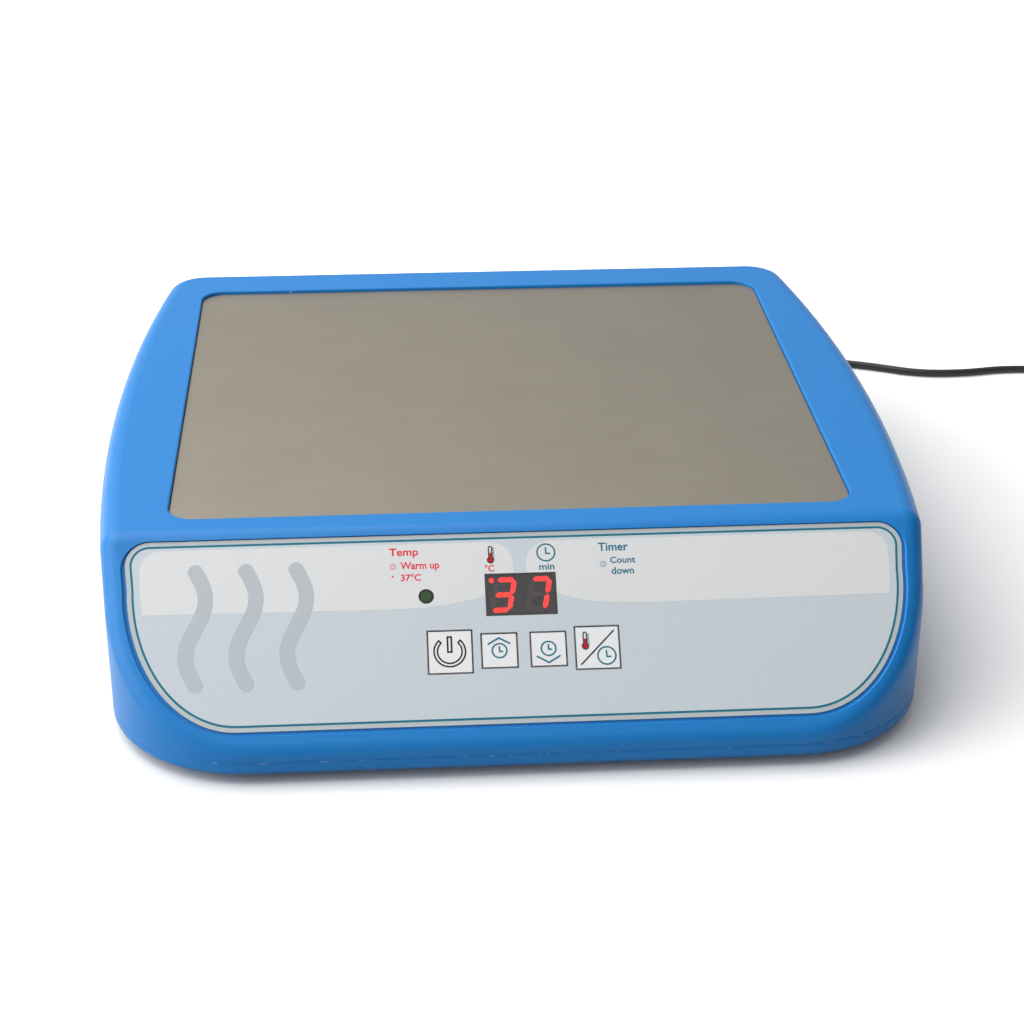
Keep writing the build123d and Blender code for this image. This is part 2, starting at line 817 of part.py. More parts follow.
display_segments.part.label = "display_segments"
export_step(display_segments.part, "parts/display_segments.step")

# Lens of the status lamp in the overlay, and the lamp below it
with BuildPart() as lamp_lens:
    with BuildSketch(panel.offset(-overlay_thickness)):
        with Locations((lamp_place[0], -lamp_place[1])):
            Circle(lamp_radius)
    extrude(amount=overlay_thickness)
lamp_lens.part.label = "lamp_lens"
export_step(lamp_lens.part, "parts/lamp_lens.step")

lamp_front = overlay_thickness + fit_gap
with BuildPart() as status_lamp:
    with BuildSketch(panel.offset(-lamp_front)):
        with Locations((lamp_place[0], -lamp_place[1])):
            Circle(lamp_radius)
    extrude(amount=-lamp_body_length)
    with BuildSketch(panel.offset(-lamp_front - lamp_body_length)):
        with Locations((lamp_place[0], -lamp_place[1])):
            Circle(lamp_flange_radius)
    extrude(amount=lamp_flange_thickness)
    with BuildSketch(panel.offset(-lamp_front - lamp_body_length)):
        with Locations((lamp_place[0], -lamp_place[1])):
            with Locations((-lamp_lead_spacing / 2, 0), (lamp_lead_spacing / 2, 0)):
                Circle(lamp_lead_radius)
    extrude(amount=lamp_front + lamp_body_length - board_depth)
status_lamp.part.label = "status_lamp"
export_step(status_lamp.part, "parts/status_lamp.step")

# Four keys: a pad through the overlay and the wall, a flange that stops it, and a stem
for key_name, (key_x, key_size) in keys.items():
    with BuildPart() as key:
        with BuildSketch(panel):
            with Locations((key_x, -key_row)):
                RectangleRounded(key_size, key_size, key_corner_radius)
        extrude(amount=-key_flange_top)
        with BuildSketch(panel.offset(-key_flange_top)):
            with Locations((key_x, -key_row)):
                Rectangle(key_size + 2 * key_flange_reach, key_size + 2 * key_flange_reach)
        extrude(amount=-key_flange_thickness)
        with BuildSketch(panel.offset(-key_flange_top - key_flange_thickness)):
            with Locations((key_x, -key_row)):
                Circle(key_stem_radius)
        extrude(amount=key_flange_top + key_flange_thickness - switch_button_top)
    key.part.label = f"{key_name}_key"
    export_step(key.part, f"parts/{key.part.label}.step")

# The moving button of the switch under each key
for key_name, (key_x, _) in keys.items():
    with BuildPart() as switch_button:
        with BuildSketch(panel.offset(-switch_button_top)):
            with Locations((key_x, -key_row)):
                Circle(switch_button_radius)
        extrude(amount=-switch_button_reach - switch_button_depth)
    switch_button.part.label = f"{key_name}_switch_button"
    export_step(switch_button.part, f"parts/{switch_button.part.label}.step")

# The four switches' bodies on the board
with BuildPart() as switch_bodies:
    for key_x, _ in keys.values():
        with BuildSketch(panel.offset(-board_depth)):
            with Locations((key_x, -key_row)):
                Rectangle(switch_size, switch_size)
        extrude(amount=switch_height)
        with BuildSketch(panel.offset(-switch_top)):
            with Locations((key_x, -key_row)):
                Circle(switch_bore_radius)
        extrude(amount=-switch_bore_depth, mode=Mode.SUBTRACT)
switch_bodies.part.label = "switch_bodies"
export_step(switch_bodies.part, "parts/switch_bodies.step")

# Control board
with BuildPart() as control_board:
    with BuildSketch(panel.offset(-board_back)):
        with Locations((0, -board_row)):
            Rectangle(board_width, board_height)
        with Locations(*board_screw_places):
            Circle(board_screw_radius + fit_gap, mode=Mode.SUBTRACT)
    extrude(amount=board_thickness)
control_board.part.label = "control_board"
export_step(control_board.part, "parts/control_board.step")

# Screws through the board into the cover's posts
with BuildPart() as board_screws:
    with BuildSketch(panel.offset(-board_back)):
        with Locations(*board_screw_places):
            Circle(board_head_radius)
    extrude(amount=-board_head_height)
    with BuildSketch(panel.offset(-board_back)):
        with Locations(*board_screw_places):
            Circle(board_screw_radius)
    extrude(amount=board_thickness + board_screw_bite)
board_screws.part.label = "board_screws"
export_step(board_screws.part, "parts/board_screws.step")

# Controller chip
with BuildPart() as controller_chip:
    with BuildSketch(panel.offset(-board_back)):
        with Locations((chip_place[0], -chip_place[1])):
            Rectangle(chip_size, chip_size)
    extrude(amount=-chip_height)
controller_chip.part.label = "controller_chip"
export_step(controller_chip.part, "parts/controller_chip.step")

# Buzzer
with BuildPart() as buzzer:
    with BuildSketch(panel.offset(-board_back)):
        with Locations((buzzer_place[0], -buzzer_place[1])):
            Circle(buzzer_radius)
    extrude(amount=-buzzer_height)
buzzer.part.label = "buzzer"
export_step(buzzer.part, "parts/buzzer.step")

# Two capacitors
with BuildPart() as capacitors:
    with BuildSketch(panel.offset(-board_back)):
        with Locations(*[(x, -capacitor_row) for x in capacitor_columns]):
            Circle(capacitor_radius)
    extrude(amount=-capacitor_height)
capacitors.part.label = "capacitors"
export_step(capacitors.part, "parts/capacitors.step")

# Power transistor on the board, with a finned heat sink on it
with BuildPart() as power_transistor:
    with BuildSketch(panel.offset(-board_back)):
        with Locations((transistor_place[0], -transistor_place[1])):
            Rectangle(transistor_width, transistor_length)
    extrude(amount=-transistor_height)
power_transistor.part.label = "power_transistor"
export_step(power_transistor.part, "parts/power_transistor.step")

sink_front = board_back + transistor_height
with BuildPart() as transistor_heat_sink:
    with BuildSketch(panel.offset(-sink_front)):
        with Locations((transistor_place[0], -transistor_place[1])):
            Rectangle(sink_width, sink_length)
    extrude(amount=-sink_base)
    with BuildSketch(panel.offset(-sink_front - sink_base)):
        with Locations((transistor_place[0], -transistor_place[1])):
            with GridLocations((sink_width - sink_fin) / (sink_fins - 1), 0, sink_fins, 1):
                Rectangle(sink_fin, sink_length)
    extrude(amount=sink_base - sink_height)
transistor_heat_sink.part.label = "transistor_heat_sink"
export_step(transistor_heat_sink.part, "parts/transistor_heat_sink.step")

# Three connectors on the board
with BuildPart() as board_connectors:
    with BuildSketch(panel.offset(-board_back)):
        with Locations(*[(connector_column, -row) for row in connector_rows.values()]):
            Rectangle(connector_width, connector_length)
    extrude(amount=-connector_height)
board_connectors.part.label = "board_connectors"
export_step(board_connectors.part, "parts/board_connectors.step")

# Power inlet jack: flange in the wall's seat, neck through the wall, pin and two tabs
with BuildPart() as power_jack:
    with BuildSketch(inlet):
        Circle(jack_flange_radius)
    extrude(amount=-jack_flange_thickness)
    with BuildSketch(inlet):
        Circle(jack_neck_radius)
    extrude(amount=-jack_length)
    with BuildSketch(inlet):
        Circle(jack_bore_radius)
    extrude(amount=-jack_bore_depth, mode=Mode.SUBTRACT)
    with BuildSketch(inlet.offset(-jack_flange_thickness)):
        Circle(jack_pin_radius)
    extrude(amount=jack_flange_thickness - jack_bore_depth)
    with BuildSketch(inlet.offset(-jack_length)):
        with Locations((-jack_tab_spacing / 2, 0), (jack_tab_spacing / 2, 0)):
            Rectangle(jack_tab_thickness, jack_tab_width)
    extrude(amount=-jack_tab_length)
power_jack.part.label = "power_jack"
export_step(power_jack.part, "parts/power_jack.step")

# Nut on the jack's neck, inside the wall
with BuildPart() as jack_nut:
    with BuildSketch(inlet.offset(-casing_wall)):
        RegularPolygon(jack_nut_radius, 6)
        Circle(jack_neck_radius, mode=Mode.SUBTRACT)
    extrude(amount=-jack_nut_thickness)
jack_nut.part.label = "jack_nut"
export_step(jack_nut.part, "parts/jack_nut.step")

# Wires inside the casing, in pairs, from the board's connectors
connector_back = board_back + connector_height
wire_floor = base_top + wire_radius + fit_gap
jack_tab_end = casing_half_length - jack_length - jack_tab_length
heater_middle = spreader_underside - heater_thickness / 2
wire_fall_y = spreader_front_y - heater_lead_gap
power_fall_y = spreader_front_y + power_lead_fall


def connector_exit(name, side, away):
    """A point straight behind a connector's back, by its distance from it."""
    point = panel_point(
        connector_column + side * wire_spacing / 2, connector_rows[name], connector_back + away
    )
    return (point.X, point.Y, point.Z)


with BuildPart() as power_leads:
    for side in (-1, 1):
        shift = side * wire_spacing / 2
        tab_x = jack_x + side * jack_tab_spacing / 2
        draw_tube(
            [
                connector_exit("power", side, 0),
                connector_exit("power", side, power_lead_stub),
                (connector_column + shift, power_fall_y, wire_floor + power_lead_rise),
                *[(x + shift, jack_tab_end - away, wire_floor) for x, away in power_lead_turns],
                (tab_x, jack_tab_end - power_lead_climb[0], jack_height - power_lead_climb[1]),
                (tab_x, jack_tab_end - power_lead_end, jack_height),
                (tab_x, jack_tab_end, jack_height),
            ],
            wire_radius,
            wire_bend_radius,
        )
power_leads.part.label = "power_leads"
export_step(power_leads.part, "parts/power_leads.step")

with BuildPart() as heater_leads:
    for side in (-1, 1):
        shift = side * wire_spacing / 2
        heater_x = connector_column + heater_lead_side + shift
        draw_tube(
            [
                connector_exit("heater", side, 0),
                connector_exit("heater", side, heater_lead_stub),
                (heater_x, wire_fall_y, wire_floor + heater_lead_rise),
                (heater_x, wire_fall_y, heater_middle),
                (heater_x, spreader_front_y, heater_middle),
            ],
            wire_radius,
            wire_bend_radius,
        )
heater_leads.part.label = "heater_leads"
export_step(heater_leads.part, "parts/heater_leads.step")

with BuildPart() as sensor_leads:
    for side in (-1, 1):
        sensor_wire_radius = sensor_radius / 2 - fit_gap / 2
        sensor_side = side * sensor_radius / 2
        draw_tube(
            [
                connector_exit("sensor", side, 0),
                connector_exit("sensor", side, sensor_lead_stub),
                (sensor_x + sensor_side, wire_fall_y, wire_floor + sensor_lead_rise),
                (sensor_x + sensor_side, wire_fall_y, spreader_middle),
                (sensor_x + sensor_side, spreader_front_y, spreader_middle),
            ],
            sensor_wire_radius,
            wire_bend_radius,
        )
sensor_leads.part.label = "sensor_leads"
export_step(sensor_leads.part, "parts/sensor_leads.step")

# Plug in the jack, and its strain relief
with BuildPart() as barrel_plug:
    with BuildSketch(inlet):
        Circle(plug_radius)
    extrude(amount=plug_length)
    fillet(barrel_plug.edges().group_by(Axis.Y)[-1], plug_edge_radius)
    with BuildSketch(inlet):
        Circle(plug_sleeve_radius)
        Circle(plug_sleeve_bore, mode=Mode.SUBTRACT)
    extrude(amount=-plug_sleeve_length)
barrel_plug.part.label = "barrel_plug"
export_step(barrel_plug.part, "parts/barrel_plug.step")

with BuildPart() as plug_strain_relief:
    with BuildSketch(inlet.offset(plug_length)):
        Circle(relief_wide_radius)
    with BuildSketch(inlet.offset(plug_length + relief_length)):
        Circle(relief_narrow_radius)
    loft(ruled=True)
plug_strain_relief.part.label = "plug_strain_relief"
export_step(plug_strain_relief.part, "parts/plug_strain_relief.step")

# The coil: a spiral in, half a turn up, and a spiral out on top
layer_low = tie_thickness + tie_gap + cord_radius
reverse_turn = coil_turns_in + coil_climb_turns / 2
all_turns = coil_turns_in + coil_climb_turns + coil_turns_out


def coil_radius(turn):
    """Distance of the coil's centre line from its middle after so many turns."""
    inward = min(turn, reverse_turn)
    outward = max(turn - reverse_turn, 0)
    return coil_outer_radius - coil_pitch * (inward - outward)


def coil_point(turn):
    """The coil's centre line after so many turns, clockwise from its far side."""
    climb = min(max(turn - coil_turns_in, 0), coil_climb_turns) / coil_climb_turns
    angle = pi / 2 - 2 * pi * turn
    return Vector(
        coil_centre[0] + coil_radius(turn) * cos(angle),
        coil_centre[1] + coil_radius(turn) * sin(angle),
        layer_low + coil_pitch * climb,
    )


def coil_direction(turn):
    """The way that the centre line points there, level except on the climb."""
    angle = pi / 2 - 2 * pi * turn
    outward = 0 if turn == reverse_turn else coil_pitch * (1 if turn > reverse_turn else -1)
    around = 2 * pi * coil_radius(turn)
    climbing = abs(turn - reverse_turn) < coil_climb_turns / 2
    return Vector(
        outward * cos(angle) + around * sin(angle),
        outward * sin(angle) - around * cos(angle),
        coil_pitch / coil_climb_turns if climbing else 0,
    ).normalized()


coil_steps = round(all_turns * coil_steps_per_turn)
coil_marks = [all_turns * step / coil_steps for step in range(coil_steps + 1)]
coil_start = coil_point(0) - coil_direction(0) * 2 * cord_radius
coil_end = coil_point(all_turns) + coil_direction(all_turns) * 2 * cord_radius
with BuildPart() as cord_coil:
    with BuildLine() as coil_line:
        Line(coil_start, coil_point(0))
        for mark, next_mark in zip(coil_marks, coil_marks[1:]):
            start, end = coil_point(mark), coil_point(next_mark)
            way_in, way_out = coil_direction(mark), coil_direction(next_mark)
            chord = end - start
            along = chord.dot(way_in + way_out)
            spread = 2 * (1 - way_in.dot(way_out))
            reach = (sqrt(along**2 + spread * chord.dot(chord)) - along) / spread
            first_handle, last_handle = start + way_in * reach, end - way_out * reach
            joint = (first_handle + last_handle) / 2
            TangentArc(start, joint, tangent=way_in)
            TangentArc(joint, end, tangent=(last_handle - first_handle).normalized())
        Line(coil_point(all_turns), coil_end)
    coil_path = coil_line.wires()[0]
    with BuildSketch(Plane(origin=coil_path @ 0, z_dir=coil_path % 0)):
        Circle(cord_radius)
    sweep(path=coil_path)
cord_coil.part.label = "cord_coil"
export_step(cord_coil.part, "parts/cord_coil.step")

# Least gap of the coil to itself, on points a little over a millimetre apart
sample_step = 1.2
sample_places = [n * sample_step for n in range(int(coil_path.length / sample_step) + 1)]
coil_line_points = coil_path.positions(sample_places, position_mode=PositionMode.LENGTH)
skip = ceil(8 * cord_radius / sample_step)
least_gap = min(
    hypot(a.X - b.X, a.Y - b.Y, a.Z - b.Z) - 2 * cord_radius
    for i, a in enumerate(coil_line_points)
    for b in coil_line_points[i + skip :]
)
print(f"coil: {coil_path.length:.1f} mm of cord, least gap to itself {least_gap:.2f} mm")

# The lead from the strain relief to the coil
cord_start = (jack_x, casing_half_length + plug_length + relief_length, jack_height)
coil_entry = coil_start - coil_direction(0) * coil_entry_run
cord_points = [cord_start, *cord_first_points]
cord_points += [(coil_entry.X, coil_entry.Y, coil_entry.Z)]
cord_points += [(coil_start.X, coil_start.Y, coil_start.Z)]
with BuildPart() as power_cord:
    cord_length = draw_tube(cord_points, cord_radius, cord_radii(cord_points))
power_cord.part.label = "power_cord"
export_step(power_cord.part, "parts/power_cord.step")
print("power cord: radii", [round(r, 1) for r in cord_radii(cord_points)])
cord_ratio = power_cord.part.volume / (pi * cord_radius**2 * cord_length)
print(f"power cord: {cord_length:.1f} mm, volume over section times length {cord_ratio:.4f}")

# The lead from the coil to the adapter
adapter_front = (adapter_centre_x, adapter_rear_y + adapter_relief_length, adapter_exit_height)
tail_entry = coil_end + coil_direction(all_turns) * tail_entry_run
tail_points = [(coil_end.X, coil_end.Y, coil_end.Z), (tail_entry.X, tail_entry.Y, tail_entry.Z)]
tail_points += [*tail_middle_points, adapter_front]
with BuildPart() as cord_tail:
    tail_length = draw_tube(tail_points, cord_radius, cord_radii(tail_points))
cord_tail.part.label = "cord_tail"
export_step(cord_tail.part, "parts/cord_tail.step")
print("cord tail: radii", [round(r, 1) for r in cord_radii(tail_points)])
tail_ratio = cord_tail.part.volume / (pi * cord_radius**2 * tail_length)
print(f"cord tail: {tail_length:.1f} mm, volume over section times length {tail_ratio:.4f}")

# Strap round the coil's turns, on their left
innermost_turn = coil_outer_radius - coil_pitch * (reverse_turn - coil_climb_turns)
strap_outer = coil_outer_radius + cord_radius + tie_gap - coil_pitch / 2
strap_inner = sqrt((innermost_turn - 1.2 * cord_radius) ** 2 - (tie_width / 2) ** 2) - tie_gap
strap_top = layer_low + coil_pitch + cord_radius + tie_gap
strap_middle = coil_centre[0] - (strap_outer + strap_inner) / 2
strap_plane = Plane(
    origin=(strap_middle, coil_centre[1], (tie_thickness + strap_top) / 2),
    x_dir=(1, 0, 0),
    z_dir=(0, -1, 0),
)
with BuildPart() as coil_tie:
    with BuildSketch(strap_plane):
        RectangleRounded(
            strap_outer - strap_inner + 2 * tie_thickness,
            strap_top + tie_thickness,
            tie_corner_radius,
        )
        RectangleRounded(
            strap_outer - strap_inner,
            strap_top - tie_thickness,
            tie_corner_radius - tie_thickness,
            mode=Mode.SUBTRACT,
        )
    extrude(amount=tie_width / 2, both=True)
coil_tie.part.label = "coil_tie"
export_step(coil_tie.part, "parts/coil_tie.step")

# Power adapter on its side, with its strain relief and its two blades
adapter_end = Plane(
    origin=(adapter_centre_x, adapter_rear_y, adapter_exit_height), x_dir=(-1, 0, 0), z_dir=(0, 1, 0)
)
with BuildPart() as adapter_strain_relief:
    with BuildSketch(adapter_end):
        Circle(relief_wide_radius)
    with BuildSketch(adapter_end.offset(adapter_relief_length)):
        Circle(relief_narrow_radius)
    loft(ruled=True)
adapter_strain_relief.part.label = "adapter_strain_relief"
export_step(adapter_strain_relief.part, "parts/adapter_strain_relief.step")

with BuildPart() as power_adapter:
    with BuildSketch():
        with Locations((adapter_centre_x, adapter_rear_y - adapter_length / 2)):
            Rectangle(adapter_depth, adapter_length)
    extrude(amount=adapter_height)
    fillet(power_adapter.edges(), adapter_edge_radius)
power_adapter.part.label = "power_adapter"
export_step(power_adapter.part, "parts/power_adapter.step")

adapter_face = Plane(
    origin=(
        adapter_centre_x + adapter_depth / 2,
        adapter_rear_y - adapter_length / 2,
        adapter_height / 2,
    ),
    x_dir=(0, 1, 0),
    z_dir=(1, 0, 0),
)
with BuildPart() as adapter_blades:
    with BuildSketch(adapter_face):
        with GridLocations(0, blade_spacing, 1, 2):
            Rectangle(blade_width, blade_thickness)
    extrude(amount=blade_length)
adapter_blades.part.label = "adapter_blades"
export_step(adapter_blades.part, "parts/adapter_blades.step")
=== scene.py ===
"""A laboratory warming plate: blue casing, sunk metal plate, sloped control panel, thin lead."""

import math

import bpy
from mathutils import Matrix, Vector


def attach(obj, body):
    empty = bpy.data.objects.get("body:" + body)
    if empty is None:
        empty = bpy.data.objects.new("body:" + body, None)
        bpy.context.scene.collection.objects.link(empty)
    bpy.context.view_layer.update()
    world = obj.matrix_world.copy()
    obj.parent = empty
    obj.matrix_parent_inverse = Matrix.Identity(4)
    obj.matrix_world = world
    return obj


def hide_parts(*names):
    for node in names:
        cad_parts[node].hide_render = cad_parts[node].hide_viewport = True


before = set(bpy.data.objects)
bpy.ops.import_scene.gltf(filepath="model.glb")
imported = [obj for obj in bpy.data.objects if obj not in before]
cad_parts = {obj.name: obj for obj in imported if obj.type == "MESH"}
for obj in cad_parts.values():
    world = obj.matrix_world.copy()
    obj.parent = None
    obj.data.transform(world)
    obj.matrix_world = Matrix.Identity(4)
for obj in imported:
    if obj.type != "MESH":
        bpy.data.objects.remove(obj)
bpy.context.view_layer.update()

# Camera: a 75 mm lens a little left of the plate's middle, looking down on it by 27 degrees,
# with a trace of roll.
heading, dip, camera_roll = -4.054, 26.92, 0.245
bpy.ops.object.camera_add(location=(-0.04084, -0.64214, 0.34454))
camera = bpy.context.object
camera.data.sensor_width = 36
camera.data.lens = 75.52
turn = Matrix.Rotation(math.radians(heading), 3, "Z")
tip = Matrix.Rotation(math.radians(90 - dip), 3, "X")
roll = Matrix.Rotation(math.radians(camera_roll), 3, "Z")
camera.rotation_euler = (turn @ tip @ roll).to_euler()
bpy.context.scene.camera = camera

# Lead: 3 mm twin flex in soft black PVC, smooth from the die, with a faint drag along it and a
# little dust that turns it grey in patches. Its plug and reliefs are moulded on, ribbed so that
# fingers hold them and so that they bend, and a woven strap ties the coil.


def linear(code):
    """An sRGB hex colour as linear RGBA."""
    values = [int(code[i : i + 2], 16) / 255 for i in (1, 3, 5)]
    return (*[v / 12.92 if v <= 0.04045 else ((v + 0.055) / 1.055) ** 2.4 for v in values], 1)


def add_node(material, kind, inputs=None, **settings):
    """Add a shader node with its settings, its constant sockets and its links."""
    node = material.node_tree.nodes.new("ShaderNode" + kind)
    for name, value in settings.items():
        setattr(node, name, value)
    for name, value in (inputs or {}).items():
        if isinstance(value, bpy.types.NodeSocket):
            material.node_tree.links.new(value, node.inputs[name])
        else:
            node.inputs[name].default_value = value
    return node


def make_finish(name, low, high, grain, relief=0.0, **sockets):
    """A finish that wavers between two colours over grains of a size in millimetres, with a
    relief in millimetres. Gives its material, its shader, the object's place and its colour."""
    material = bpy.data.materials.new(name)
    material.use_nodes = True
    shader = material.node_tree.nodes["Principled BSDF"]
    for socket, value in sockets.items():
        shader.inputs[socket.replace("_", " ")].default_value = value
    place = add_node(material, "TexCoord").outputs["Object"]
    noise = add_node(material, "TexNoise", {"Vector": place, "Scale": 1000 / grain, "Detail": 3})
    mix = add_node(
        material,
        "Mix",
        {0: noise.outputs["Fac"], 6: linear(low), 7: linear(high)},
        data_type="RGBA",
    )
    material.node_tree.links.new(mix.outputs[2], shader.inputs["Base Color"])
    if relief:
        bump = add_node(
            material,
            "Bump",
            {"Height": noise.outputs["Fac"], "Strength": 0.5, "Distance": relief / 1000},
        )
        material.node_tree.links.new(bump.outputs[0], shader.inputs["Normal"])
    return material, shader, place, mix.outputs[2]


def coat(material, *names):
    """Give CAD nodes a material."""
    for name in names:
        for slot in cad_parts[name].material_slots:
            slot.material = material


def settle(piece, material, slot, *nodes, place=None):
    """Put a finished mesh in its place on the casing, give it its material and hide the CAD nodes
    that it replaces."""
    bpy.ops.object.mode_set(mode="EDIT")
    bpy.ops.mesh.select_all(action="SELECT")
    bpy.ops.mesh.remove_doubles(threshold=0.000001)
    bpy.ops.mesh.normals_make_consistent(inside=False)
    bpy.ops.object.mode_set(mode="OBJECT")
    bpy.ops.object.shade_smooth_by_angle(angle=math.radians(35))
    piece.data.transform((place or Matrix()) @ piece.matrix_basis)
    piece.matrix_basis = Matrix()
    piece.data.materials.clear()
    piece.data.materials.append(material)
    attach(piece, "casing")
    if nodes:
        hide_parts(*nodes)
    return piece


def turn_piece(name, rings, sides=40):
    """Turn a piece about Z as on a lathe, from a disc that is extruded and resized through its
    rings of height and radius in millimetres. It is left in edit mode."""
    bpy.ops.object.select_all(action="DESELECT")
    bpy.ops.mesh.primitive_circle_add(
        vertices=sides, radius=rings[0][1] / 1000, fill_type="NGON", location=(0, 0, 0)
    )
    piece = bpy.context.object
    piece.name = name
    bpy.ops.object.mode_set(mode="EDIT")
    bpy.ops.mesh.select_all(action="SELECT")
    bpy.ops.transform.translate(value=(0, 0, rings[0][0] / 1000))
    for (last_height, last_radius), (height, radius) in zip(rings, rings[1:]):
        rise = (0, 0, (height - last_height) / 1000)
        grow = radius / last_radius
        bpy.ops.mesh.extrude_region_move(TRANSFORM_OT_translate={"value": rise})
        bpy.ops.transform.resize(value=(grow, grow, 1))
    return piece


flex = make_finish("extruded soft PVC", "#131314", "#2b2b2d", 4, 0.02, Roughness=0.42, IOR=1.53)[0]
grip = make_finish("moulded soft PVC", "#151516", "#222223", 0.5, 0.03, Roughness=0.6, IOR=1.53)[0]
strap = make_finish("woven polyester strap", "#151516", "#3a3a3c", 0.6, 0.4, Roughness=0.95)[0]
coat(strap, "coil_tie")

along_lead = Matrix.Rotation(math.radians(-90), 4, "X")
grip_ribs, rib_pitch, crest, groove = 6, 2.4, 5.2, 4.7
plug_rings = [(-9.5, 2.7), (0, 2.7), (0, 4.9), (0.35, 5.25), (3, 5.25)]
for rib in range(grip_ribs):
    rib_start = 4 + rib_pitch * rib
    plug_rings += [(rib_start, crest), (rib_start + 0.3, groove)]
    plug_rings += [(rib_start + 1.1, groove), (rib_start + 1.4, crest)]
plug_rings += [(18.6, 5.2), (20.6, 4.9), (21.7, 4.2), (22, 3.5)]
plug_grip = settle(
    turn_piece("plug_grip", plug_rings),
    grip,
    "cord_black",
    "barrel_plug",
    place=Matrix.Translation((0.07, 0.1315, 0.018)) @ along_lead,
)
on_the_lead = [plug_grip]
for relief_name, relief_place, relief_length in (
    ("plug_strain_relief", (0.07, 0.1535, 0.018), 16),
    ("adapter_strain_relief", (0.287, 0.06, 0.011), 12),
):
    relief_rings = [(0, 3.6), (1, 3.6)]
    rib_count = relief_length // 3
    for rib in range(rib_count):
        rib_start = 1.4 + (relief_length - 2.4) * rib / rib_count
        rib_radius = 3.55 - 1.25 * (rib_start / relief_length)
        relief_rings += [(rib_start, rib_radius - 0.55), (rib_start + 0.9, rib_radius - 0.6)]
        relief_rings += [(rib_start + 1.2, rib_radius), (rib_start + 1.9, rib_radius - 0.05)]
    relief_rings += [(relief_length - 0.2, 2.2), (relief_length, 2), (relief_length, 1.55)]
    ribbed_relief = settle(
        turn_piece("ribbed_" + relief_name, relief_rings),
        grip,
        "cord_black",
        relief_name,
        place=Matrix.Translation(relief_place) @ along_lead,
    )
    on_the_lead.append(ribbed_relief)

# The lead's line: straight out of the plug, down to the bench and over it in loose curves to a
# neat tied coil. The coil winds inwards on the bench for half its turns, climbs by a layer and
# winds outwards on top, and the rest goes up into the adapter.
coil_x, coil_y = 268, 124
coil_radius, turn_spacing, turn_points = 23.75, 3.5, 16
coil_turns, turns_inwards = 8.25, 4.25
low_layer, layer_rise, climb_from, climb_turns = 2.7, 3.5, 4, 0.5
last_step = int(coil_turns * turn_points)
coil_points = []
for step in range(last_step + 1):
    turns = step / turn_points
    inwards = min(turns, turns_inwards) - max(turns - turns_inwards, 0)
    reach = coil_radius - turn_spacing * inwards
    if 0 < step < last_step:
        reach /= math.cos(math.pi / turn_points)
    around = math.pi / 2 - 2 * math.pi * turns
    climb = min(max(turns - climb_from, 0), climb_turns) / climb_turns
    level = low_layer + layer_rise * climb
    coil_points.append(
        (coil_x + reach * math.cos(around), coil_y + reach * math.sin(around), level)
    )
lead_points = [
    (70, 169.5, 18),
    (70, 183, 18),
    (76, 199, 11.5),
    (94, 209.5, 3.5),
    (111, 206, 1.5),
    (123, 192, 1.5),
    (131, 175, 1.5),
    (145, 159.5, 1.5),
    (163, 153.5, 1.5),
    (179, 145.5, 1.5),
    (198, 144.5, 1.5),
    (215, 147.8, 1.5),
    (233, 146, 1.5),
    (249, 148.2, 2.7),
    (265, 147.82, 2.7),
    *coil_points,
    (290.95, 121, 6.2),
    (291.26, 108, 6.2),
    (289.2, 96, 7.4),
    (287, 84, 11),
    (287, 72, 11),
]
lead_curve = bpy.data.curves.new("lead", "CURVE")
lead_curve.dimensions = "3D"
lead_spline = lead_curve.splines.new("NURBS")
lead_spline.points.add(len(lead_points) - 1)
for point, (x, y, z) in zip(lead_spline.points, lead_points):
    point.co = (x / 1000, y / 1000, z / 1000, 1)
lead_spline.order_u = 3
lead_spline.use_endpoint_u = True
lead_curve.resolution_u = 6
lead_curve.bevel_depth = 0.0015
lead_curve.bevel_resolution = 4
lead_curve.use_fill_caps = True
lead_curve.materials.append(flex)
lead = bpy.data.objects.new("lead", lead_curve)
bpy.context.collection.objects.link(lead)
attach(lead, "casing")
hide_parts("power_cord", "cord_coil", "cord_tail")
on_the_lead += [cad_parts[name] for name in ("coil_tie", "power_adapter", "adapter_blades")]

